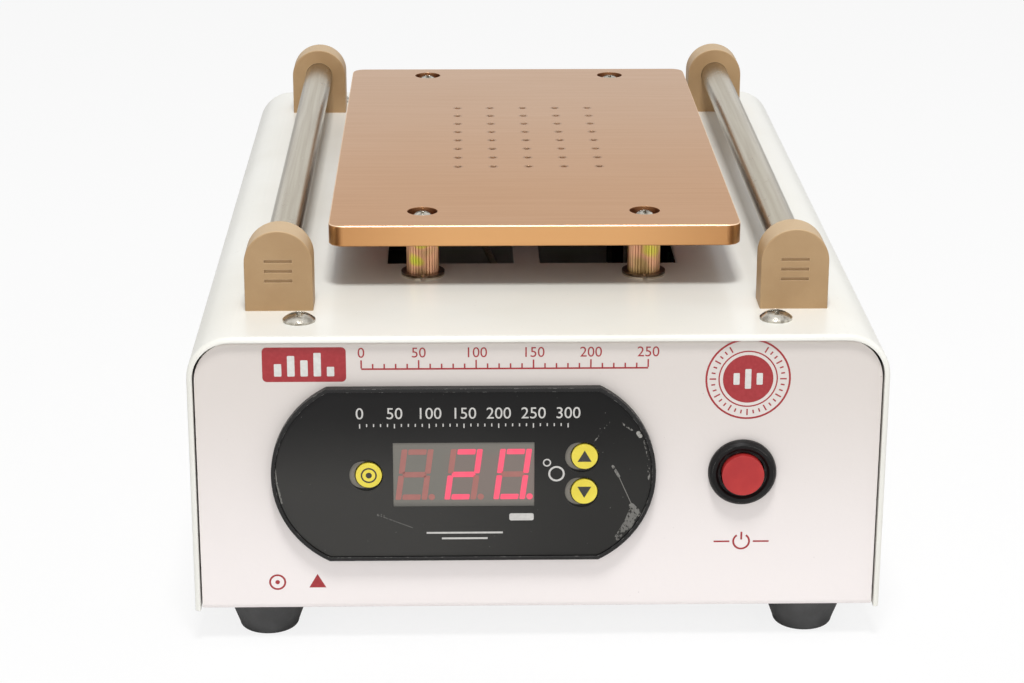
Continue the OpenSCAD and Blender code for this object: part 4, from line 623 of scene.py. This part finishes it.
# flat print: shapes are drawn in x and z, in mm, then set on the face that carries them
class Print:
    def __init__(self):
        self.bm = bmesh.new()

    def put(self, made, x, z, turn=0.0):
        upright = Matrix.Rotation(math.radians(-turn), 4, "Y") @ Matrix.Rotation(math.radians(90), 4, "X")
        bmesh.ops.transform(self.bm, verts=made, matrix=Matrix.Translation((x, 0, z)) @ upright)
        return made

    def box(self, x, z, w, h, round=0.0, turn=0.0):
        made = bmesh.ops.create_grid(self.bm, x_segments=1, y_segments=1, size=0.5)["verts"]
        bmesh.ops.scale(self.bm, vec=(w, h, 1), verts=made)
        if round:
            made = bmesh.ops.bevel(self.bm, geom=made, offset=round, offset_type="OFFSET", segments=5,
                                   profile=0.5, affect="VERTICES", material=-1)["verts"]
        return self.put(made, x, z, turn)

    def disc(self, x, z, r, sides=48):
        made = bmesh.ops.create_circle(self.bm, cap_ends=True, segments=sides, radius=r)["verts"]
        return self.put(made, x, z)

    def ring(self, x, z, r, width, start=0.0, sweep=360.0):
        ends = [self.bm.verts.new((x + k, 0, z)) for k in (r - width / 2, r + width / 2)]
        edge = self.bm.edges.new(ends)
        centre = (x, 0, z)
        turned = Matrix.Rotation(math.radians(-start), 3, "Y")
        bmesh.ops.rotate(self.bm, cent=centre, matrix=turned, verts=ends)
        bmesh.ops.spin(self.bm, geom=[*ends, edge], cent=centre, axis=(0, -1, 0), angle=math.radians(sweep),
                       steps=max(6, int(sweep / 7)), use_merge=sweep == 360)

    def triangle(self, x, z, r, turn=0.0, squeeze=1.0):
        made = bmesh.ops.create_circle(self.bm, cap_ends=True, segments=3, radius=r)["verts"]
        bmesh.ops.scale(self.bm, vec=(squeeze, 1, 1), verts=made)
        return self.put(made, x, z, turn)

    def dash(self, x, z, length, width):  # a segment of the display with pointed ends, flat in x and y
        point = width / 1.732  # the hexagon's radius for this width
        made = bmesh.ops.create_circle(self.bm, cap_ends=True, segments=6, radius=point)["verts"]
        bmesh.ops.rotate(self.bm, matrix=Matrix.Rotation(math.radians(90), 3, "Z"), verts=made)
        for v in made:
            v.co.x += math.copysign(length / 2 - point, v.co.x)
        bmesh.ops.translate(self.bm, vec=(x, z, 0), verts=made)
        return made

    def number(self, words, x, z, size):
        text = bpy.data.curves.new("number", "FONT")
        text.body, text.size, text.align_x, text.align_y = words, size, "CENTER", "CENTER"
        thing = bpy.data.objects.new("number", text)
        mesh = bpy.data.meshes.new_from_object(thing)
        mesh.transform(Matrix.Translation((x, 0, z)) @ Matrix.Rotation(math.radians(90), 4, "X"))
        self.bm.from_mesh(mesh)
        bpy.data.objects.remove(thing)
        bpy.data.meshes.remove(mesh)

    def finish(self, name, finish, body, slot, y, thick=0.02):
        bm = self.bm
        bmesh.ops.remove_doubles(bm, verts=bm.verts, dist=0.0005)
        loose = [v for v in bm.verts if not v.link_faces]
        bmesh.ops.delete(bm, geom=loose, context="VERTS")
        for face in bm.faces:
            face.normal_update()
            if face.normal.y > 0:
                face.normal_flip()
        grown = bmesh.ops.extrude_face_region(bm, geom=bm.faces[:], use_keep_orig=True)["geom"]
        lifted = [g for g in grown if isinstance(g, bmesh.types.BMVert)]
        bmesh.ops.translate(bm, vec=(0, -thick, 0), verts=lifted)
        bmesh.ops.recalc_face_normals(bm, faces=bm.faces)
        toFrame(bm, (0, y, 0))
        return keep(bm, name, finish, body)


def panelPrint():
    # places in x and z, then widths, heights and corners; rim is the cover's lower edge, which cuts the badge
    look = {"box": (-60.6, 78.3, 21.6, 9.4, 1.2), "boxBars": (3.4, 5.6, 4.4, 6.4, 2.6), "boxFoot": 3.2,
            "boxBar": (3.4, 1.9, 0.25), "scale": (-45.9, 28.1, 77.0), "line": 0.45,
            "tick": (0.4, 1.2, 2.2, 0.2), "numbers": (4.3, 3.9), "badge": (54.1, 73.8, 11.15),
            "badgeRings": ((0.3, 0.5), (3.6, 0.35)), "badgeDisc": 4.6, "badgeTick": (2, 0.38, 1.0, 1.7),
            "badgeBars": (3.2, 5.4, 3.2), "badgeBar": (3.0, 1.6, 0.25), "hidden": (60, 120),
            "start": (53.7, 28.2), "power": (2.1, 0.5, 125, 290), "stroke": (1.6, 0.5, 2.2),
            "wing": (5.2, 4.2, 0.45), "ringMark": (-69.0, 17.3, 2.0, 0.5), "dot": 0.6,
            "triangleMark": (-58.4, 17.0, 2.6), "rim": 84.3}
    ink = Print()
    ink.box(*look["box"])
    low, high, z = look["scale"]
    ink.box((low + high) / 2, z, high - low, look["line"])
    wide, short, tall, lift = look["tick"]
    above, size = look["numbers"]
    steps, every = 25, 5
    for i in range(steps + 1):
        length, along = short if i % every else tall, low + (high - low) * i / steps
        ink.box(along, z + length / 2 + lift, wide, length)
        if i % every == 0:
            ink.number(str(10 * i), along, z + above, size)
    x, z, r = look["badge"]
    for inset, width in look["badgeRings"]:
        ink.ring(x, z, r - inset, width)
    ink.disc(x, z, r - look["badgeDisc"])
    inset, wide, short, tall = look["badgeTick"]
    first, last = look["hidden"]
    for turn in range(0, 360, 10):
        if not first < turn < last:  # the cover's rim hides the badge's top
            a, length = math.radians(turn), short if turn % 30 else tall
            ink.box(x + (r - inset) * math.cos(a), z + (r - inset) * math.sin(a), length, wide, 0, turn)
    x, z = look["start"]
    ink.ring(x, z, *look["power"])
    up, wide, tall = look["stroke"]
    ink.box(x, z + up, wide, tall)
    out, length, wide = look["wing"]
    for side in (-1, 1):
        ink.box(x + side * out, z, length, wide)
    ink.ring(*look["ringMark"])
    ink.disc(*look["ringMark"][:2], look["dot"], 24)
    ink.triangle(*look["triangleMark"])
    bmesh.ops.bisect_plane(ink.bm, geom=ink.bm.verts[:] + ink.bm.edges[:] + ink.bm.faces[:],
                           plane_co=(0, 0, look["rim"]), plane_no=(0, 0, 1), clear_outer=True)
    ink.finish("panel_print", redInk, "machine", "panel_paint", 0)
    bars = Print()
    x, z = look["box"][:2]
    pitch, wide, corner = look["boxBar"]
    for i, tall in enumerate(look["boxBars"]):
        bars.box(x + pitch * (i - 2), z - look["boxFoot"] + tall / 2, wide, tall, corner)
    x, z = look["badge"][:2]
    pitch, wide, corner = look["badgeBar"]
    for i, tall in enumerate(look["badgeBars"]):
        bars.box(x + pitch * (i - 1), z, wide, tall, corner)
    bars.finish("panel_print_bars", whiteInk, "machine", "panel_paint", -0.02)


def controllerPrint():
    # rings: place, radius and width; boxes: place, width, height and corner
    look = {"scale": (-46.5, 1.8, 62.5), "tick": (0.3, 0.8, 1.2), "numbers": (65.2, 4.4),
            "rings": ((2.1, 51.5, 0.9, 0.35), (4.6, 48.4, 1.9, 0.5)),
            "boxes": ((-4.5, 36.3, 6.4, 2.0, 0.5), (-19.4, 31.9, 20, 0.5), (-19.4, 30.3, 12, 0.5))}
    ink = Print()
    start, pitch, top = look["scale"]
    wide, short, tall = look["tick"]
    steps, every = 30, 5
    for i in range(steps + 1):
        high = short if i % every else tall
        ink.box(start + pitch * i, top - high / 2, wide, high)
        if i % every == 0:
            ink.number(str(10 * i), start + pitch * i, *look["numbers"])
    for ring in look["rings"]:
        ink.ring(*ring)
    for box in look["boxes"]:
        ink.box(*box)
    ink.finish("controller_print", greyInk, "machine", "overlay_film", -1.7)


def buttonPrints():
    look = {"face": -1.85, "arrow": 2.1, "shift": 0.35, "dot": 0.8, "ring": (1.9, 0.4),
            "places": (("up", 11.9, 53.15, -1), ("down", 11.9, 43.35, 1), ("set", -44.35, 48.25, 0))}
    for name, x, z, way in look["places"]:
        mark = Print()
        if way:
            mark.triangle(x, z + way * look["shift"], look["arrow"], 90 + way * 90)
        else:
            mark.disc(x, z, look["dot"], 32)
            mark.ring(x, z, *look["ring"])
        mark.finish(name + "_button_print", blackInk, name + "_button", "yellow_plastic", look["face"])


def displayDigits():
    # seven segments to a digit: place in it, width, height; each reading names the ones that are lit
    look = {"middle": (-19.65, 48.3), "pitch": 12.8, "half": (3.4, 6.3), "stroke": 1.5, "gap": 0.28,
            "lean": 0.13, "corner": 0.34, "dot": (1.05, 0.85), "tips": 0.5, "face": -1.5, "lift": 0.02,
            "window": (-19.6, 48.25, 36.84, 17.84)}
    window = Print()
    window.box(*look["window"])
    window.finish("display_window", finishes["led_display"], "machine", "display_grey", look["face"])
    (w, h), stroke, gap = look["half"], look["stroke"], look["gap"]
    short, tall = 2 * w - stroke - 2 * gap, h + stroke / 2 - gap
    rise = gap + tall / 2
    bars = [(0, h, short, stroke), (w, rise, stroke, tall), (w, -rise, stroke, tall), (0, -h, short, stroke),
            (-w, -rise, stroke, tall), (-w, rise, stroke, tall)]
    readings = [(), (0, 1, 3, 4, 6), (0, 1, 2, 3, 4, 5, 7)]
    lit, dark = Print(), Print()
    for digit, reading in enumerate(readings):
        x, z = look["middle"][0] + (digit - 1) * look["pitch"], look["middle"][1]
        for i, (dx, dz, wide, high) in enumerate(bars):
            made = (lit if i in reading else dark).box(dx, dz, wide, high, look["corner"])
            for v in made:
                v.co.x += x + v.co.z * look["lean"]
                v.co.z += z
        middle = lit if 6 in reading else dark
        made = middle.dash(x, z, 2 * w - look["tips"], stroke)
        bmesh.ops.rotate(middle.bm, matrix=Matrix.Rotation(math.radians(90), 3, "X"), verts=made)
        out, r = look["dot"]
        (lit if 7 in reading else dark).disc(x + w + out, z - h, r, 24)
    face = look["face"] - look["lift"]
    lit.finish("display_segments_lit", litSegment(), "machine", "display_grey", face, 0.03)
    dark.finish("display_segments_dark", darkSegment(), "machine", "display_grey", face, 0.03)


panelPrint()
controllerPrint()
buttonPrints()
displayDigits()
print("prints done")


# leads and hose, on the routes of the solids that they stand for
def smoothRoute(points, steps):
    p = [Vector(q) for q in points]
    path = []
    for i in range(len(p) - 1):
        a, b, c, d = p[max(i - 1, 0)], p[i], p[i + 1], p[min(i + 2, len(p) - 1)]
        for s in range(steps):
            t = s / steps
            path.append((2 * b + (c - a) * t + (2 * a - 5 * b + 4 * c - d) * t * t
                         + (3 * b - a - 3 * c + d) * t ** 3) / 2)
    return [spot(*q) for q in path + [p[-1]]]


def softTube(name, finish, route, diameter, replaced, steps=6):
    path = smoothRoute(route, steps)
    curve = bpy.data.curves.new(name, "CURVE")
    curve.dimensions, curve.use_fill_caps = "3D", True
    curve.bevel_depth, curve.bevel_resolution = diameter * mm / 2, 3
    line = curve.splines.new("POLY")
    line.points.add(len(path) - 1)
    for point, place in zip(line.points, path):
        point.co = (*place, 1)
    line.use_smooth = True
    curve.materials.append(finish)
    piece = bpy.data.objects.new(name, curve)
    bpy.context.scene.collection.objects.link(piece)
    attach(piece, "machine")
    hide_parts(replaced)
    return piece


def routed(start, startWay, points, endWay, end):
    start, end, out = Vector(start), Vector(end), 4
    return [start, start + out * Vector(startWay), *points, end + out * Vector(endWay), end]


def leads():
    d, top = 2.2, 21.15
    skins = {k: leadSkin(k + "_lead_skin", srgb(*a), srgb(*b)) for k, a, b in (
        ("brown", (112, 66, 40), (96, 54, 32)), ("blue", (44, 84, 160), (34, 70, 140)),
        ("earth", (176, 184, 52), (150, 160, 40)), ("white", (226, 222, 212), (208, 203, 190)),
        ("black", (46, 45, 45), (34, 33, 33)), ("red", (176, 44, 40), (156, 34, 32)))}
    pins = (("brown", 41, 31, 38.6), ("earth", 48, 35, 46.2), ("blue", 55, 31, 53.8))
    for skin, x, z, terminal in pins:
        route = routed((x, 238.65, z), (0, -1, 0), [], (0, 1, 0), (terminal, 226.85, 27.8))
        softTube("mains_lead_" + skin, skins[skin], route, d, "mains_leads")
    softTube("cutout_lead", skins["white"], routed(
        (34.15, 196.15, 91.5), (1, 0, 0),
        [(40, 190, 92), (36, 178, 90), (34, 170, 80), (38, 178, 64), (46, 196, 40)],
        (0, 0, 1), (46, 200, top)),
        d, "heater_leads")
    softTube("heater_lead", skins["white"], routed(
        (36, 141, 96.35), (0, 0, -1),
        [(35, 143, 82), (33, 152, 68), (34, 169, 48), (36, 176, 32)], (0, 0, 1), (36, 176, top)),
        d, "heater_leads")
    controls = [
        ((49.8, 32.35, 48.1), [(52, 46, 40), (74, 58, 24), (80, 76, 14), (80, 104, 14), (70, 120, 20),
                               (66, 131, 29)], (0, 1, 0), (66, 136)),
        ((56.8, 32.35, 48.1), [(60, 46, 40), (80, 54, 24), (84, 72, 14), (84, 104, 14), (76, 120, 20),
                               (70, 132, 29)], (0, 1, 0), (71, 137)),
        ((-55, 111.65, 28.2), [(-54, 104, 26), (-40, 98, 14), (-10, 98, 14), (16, 106, 14), (28, 118, 20),
                               (32, 130, 29)], (0, -1, 0), (33, 136)),
        ((-37, 111.65, 28.2), [(-35, 105, 25), (-28, 103, 18), (-10, 103, 14), (12, 110, 14), (22, 120, 20),
                               (27, 131, 29)], (0, -1, 0), (27, 137)),
        ((-10.6, 13.45, 40.25), [(-10, 24, 38), (0, 44, 20), (10, 70, 14), (24, 96, 14), (38, 118, 20),
                                 (44, 130, 29)], (0, 1, 0), (45, 136)),
        ((-4.6, 13.45, 40.25), [(-4, 24, 38), (6, 44, 20), (16, 70, 14), (30, 96, 14), (44, 116, 20),
                                (50, 129, 29)], (0, 1, 0), (51, 136)),
    ]
    for i, (start, points, way, end) in enumerate(controls):
        softTube("control_lead_%d" % (i + 1), skins["red" if i % 2 else "black"],
                 routed(start, way, points, (0, 0, 1), (*end, top)), d, "control_leads")


def sensor():
    look = {"lug": (-22, 196.15, 97.2), "lugR": 4, "lugT": 1, "holeR": 1.7, "sleeve": (-22, 204.15, 96.4),
            "sleeveR": 1.8, "sleeveL": 10, "crimp": 0.4}
    bm = bmesh.new()
    x, y, z = look["lug"]
    flat = [bm.verts.new((x + look["holeR"], y, z)), bm.verts.new((x + look["lugR"], y, z))]
    edge = bm.edges.new(flat)
    bmesh.ops.spin(bm, geom=[*flat, edge], cent=(x, y, z), axis=(0, 0, 1), angle=math.tau, steps=40,
                   use_merge=True)
    grown = bmesh.ops.extrude_face_region(bm, geom=bm.faces[:], use_keep_orig=True)["geom"]
    lifted = [g for g in grown if isinstance(g, bmesh.types.BMVert)]
    bmesh.ops.translate(bm, vec=(0, 0, look["lugT"]), verts=lifted)
    along = Matrix.Translation(look["sleeve"]) @ Matrix.Rotation(math.pi / 2, 4, "X")
    made = bmesh.ops.create_cone(bm, cap_ends=True, segments=28, radius1=look["sleeveR"],
                                 radius2=look["sleeveR"], depth=look["sleeveL"], matrix=along)["verts"]
    rims = [e for v in made for e in v.link_edges
            if len(e.link_faces) == 2 and abs(e.verts[0].co.y - e.verts[1].co.y) < 0.01]
    bmesh.ops.bevel(bm, geom=list(set(rims)), offset=look["crimp"], offset_type="OFFSET", segments=3,
                    profile=0.5, affect="EDGES", material=-1)
    bmesh.ops.recalc_face_normals(bm, faces=bm.faces)
    toFrame(bm, (0, 0, 0))
    head = keep(bm, "sensor_head", brightPin(), "machine", 35)
    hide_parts("temperature_sensor")
    points = [(-26, 214, 92), (-30, 206, 91), (-30, 190, 91), (-27, 178, 89), (-24, 173, 81), (-18, 176, 70),
              (-12, 174, 58), (-6, 150, 50), (-6, 100, 50), (-30, 50, 54), (-50, 28, 56)]
    skin = leadSkin("sensor_lead_skin", srgb(214, 208, 192), srgb(196, 188, 170))
    route = routed((-22, 205.15, 96.4), (0, 1, 0), points, (0, 1, 0), (-50.6, 13.45, 54.25))
    softTube("sensor_lead", skin, route, 2.2, "temperature_sensor")


def hose():
    route = [(20, 136.7, 88.7), (20, 136.7, 82.7), (15, 141, 76), (-4, 149, 73), (-22, 158, 74),
             (-33, 164, 77), (-39, 166, 72.2), (-39, 166, 66.2)]
    softTube("hose", clearSilicone(), route, 8, "vacuum_hose", 8)


def returnSpring():
    look = {"axis": (53.3, 48.1), "wire": 0.4, "coil": 3.2, "turns": 6, "from": -1.1, "to": 12.5,
            "travel": 2.5}
    long = look["to"] - look["from"]
    steps = 24 * look["turns"]
    bm = bmesh.new()
    ring = bmesh.ops.create_circle(bm, cap_ends=True, segments=10, radius=look["wire"])["verts"]
    bmesh.ops.translate(bm, vec=(look["coil"], 0, 0), verts=ring)
    quarter = Matrix.Rotation(math.pi / 2, 3, "X")
    bmesh.ops.rotate(bm, cent=(look["coil"], 0, 0), matrix=quarter, verts=ring)
    bmesh.ops.rotate(bm, matrix=quarter, verts=ring)
    bmesh.ops.spin(bm, geom=bm.faces[:], cent=(0, 0, 0), axis=(0, 1, 0), dvec=(0, long / steps, 0),
                   angle=math.tau * look["turns"], steps=steps, use_duplicate=False)
    bmesh.ops.recalc_face_normals(bm, faces=bm.faces)
    x, z = look["axis"]
    toFrame(bm, (x, look["from"], z))
    spring = keep(bm, "return_spring", springSteel(), "machine", 60)
    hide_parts("start_switch_spring")
    spot(x, look["to"], z)
    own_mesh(spring)


leads()
sensor()
hose()
returnSpring()
print("leads, hose and spring done")


# floor, light and camera
def floor():
    look = {"half": 6, "pale": (0.9, 0.9, 0.9, 1), "white": (1, 1, 1, 1), "lift": 0.84}
    bm = bmesh.new()
    bmesh.ops.create_grid(bm, x_segments=1, y_segments=1, size=look["half"])
    mesh = bpy.data.meshes.new("floor")
    bm.to_mesh(mesh)
    bm.free()
    piece = bpy.data.objects.new("floor", mesh)
    bpy.context.scene.collection.objects.link(piece)
    p = Paint("floor_paint")
    p.done(look["pale"], 0.9, Specular_IOR_Level=0.1)
    glow = p.node("ShaderNodeEmission", None, {"Color": look["white"], "Strength": 1.0})
    both = p.node("ShaderNodeMixShader", None, {
        0: p.rays("Camera") * look["lift"], 1: Wire(p, p.surface.outputs[0]), 2: glow})
    p.plug(p.tree.nodes["Material Output"].inputs["Surface"], both)
    mesh.materials.append(p.material)


def light():
    # each lamp: watts, side of its square, place
    look = {"world": 0.37, "top": (15.4, 0.3, (0.0, -0.62, 1.5)), "front": (3.6, 1.0, (-0.35, -1.5, 0.5)),
            "side": (2.2, 0.8, (1.2, -0.3, 0.7)), "aim": (0, 0, 0.05)}
    world = bpy.data.worlds.new("studio")
    bpy.context.scene.world = world
    p = Paint("studio", world)
    # white where it is seen or mirrored, dimmer as light
    seen = p.rays("Camera").highest(p.rays("Glossy").highest(p.rays("Transmission")))
    level = p.node("ShaderNodeMapRange", None, {"Value": seen, "To Min": look["world"], "To Max": 1.0})
    p.plug(p.surface.inputs["Color"], (1, 1, 1, 1))
    p.plug(p.surface.inputs["Strength"], level)
    for name in ("top", "front", "side"):
        power, size, place = look[name]
        lamp = bpy.data.lights.new(name + "_lamp", "AREA")
        lamp.energy, lamp.size, lamp.shape = power, size, "SQUARE"
        thing = bpy.data.objects.new(name + "_lamp", lamp)
        bpy.context.scene.collection.objects.link(thing)
        aim = Vector(look["aim"]) - Vector(place)
        thing.matrix_world = Matrix.Translation(place) @ aim.to_track_quat("-Z", "Y").to_matrix().to_4x4()


def camera():
    look = {"place": (-0.02142, -0.75882, 0.29618), "yaw": 1.3228, "pitch": -18.820, "roll": 0.149,
            "lens": 89.836}
    data = bpy.data.cameras.new("camera")
    data.lens, data.sensor_width, data.sensor_fit = look["lens"], 36, "HORIZONTAL"
    thing = bpy.data.objects.new("camera", data)
    bpy.context.scene.collection.objects.link(thing)
    turn = [math.radians(look[k]) for k in ("yaw", "pitch", "roll")]
    thing.matrix_world = (Matrix.Translation(look["place"]) @ Matrix.Rotation(-turn[0], 4, "Z")
                          @ Matrix.Rotation(math.pi / 2 + turn[1], 4, "X") @ Matrix.Rotation(turn[2], 4, "Z"))
    bpy.context.scene.camera = thing


floor()
light()
camera()
bpy.context.scene.view_settings.view_transform = "Standard"
print("stage done")
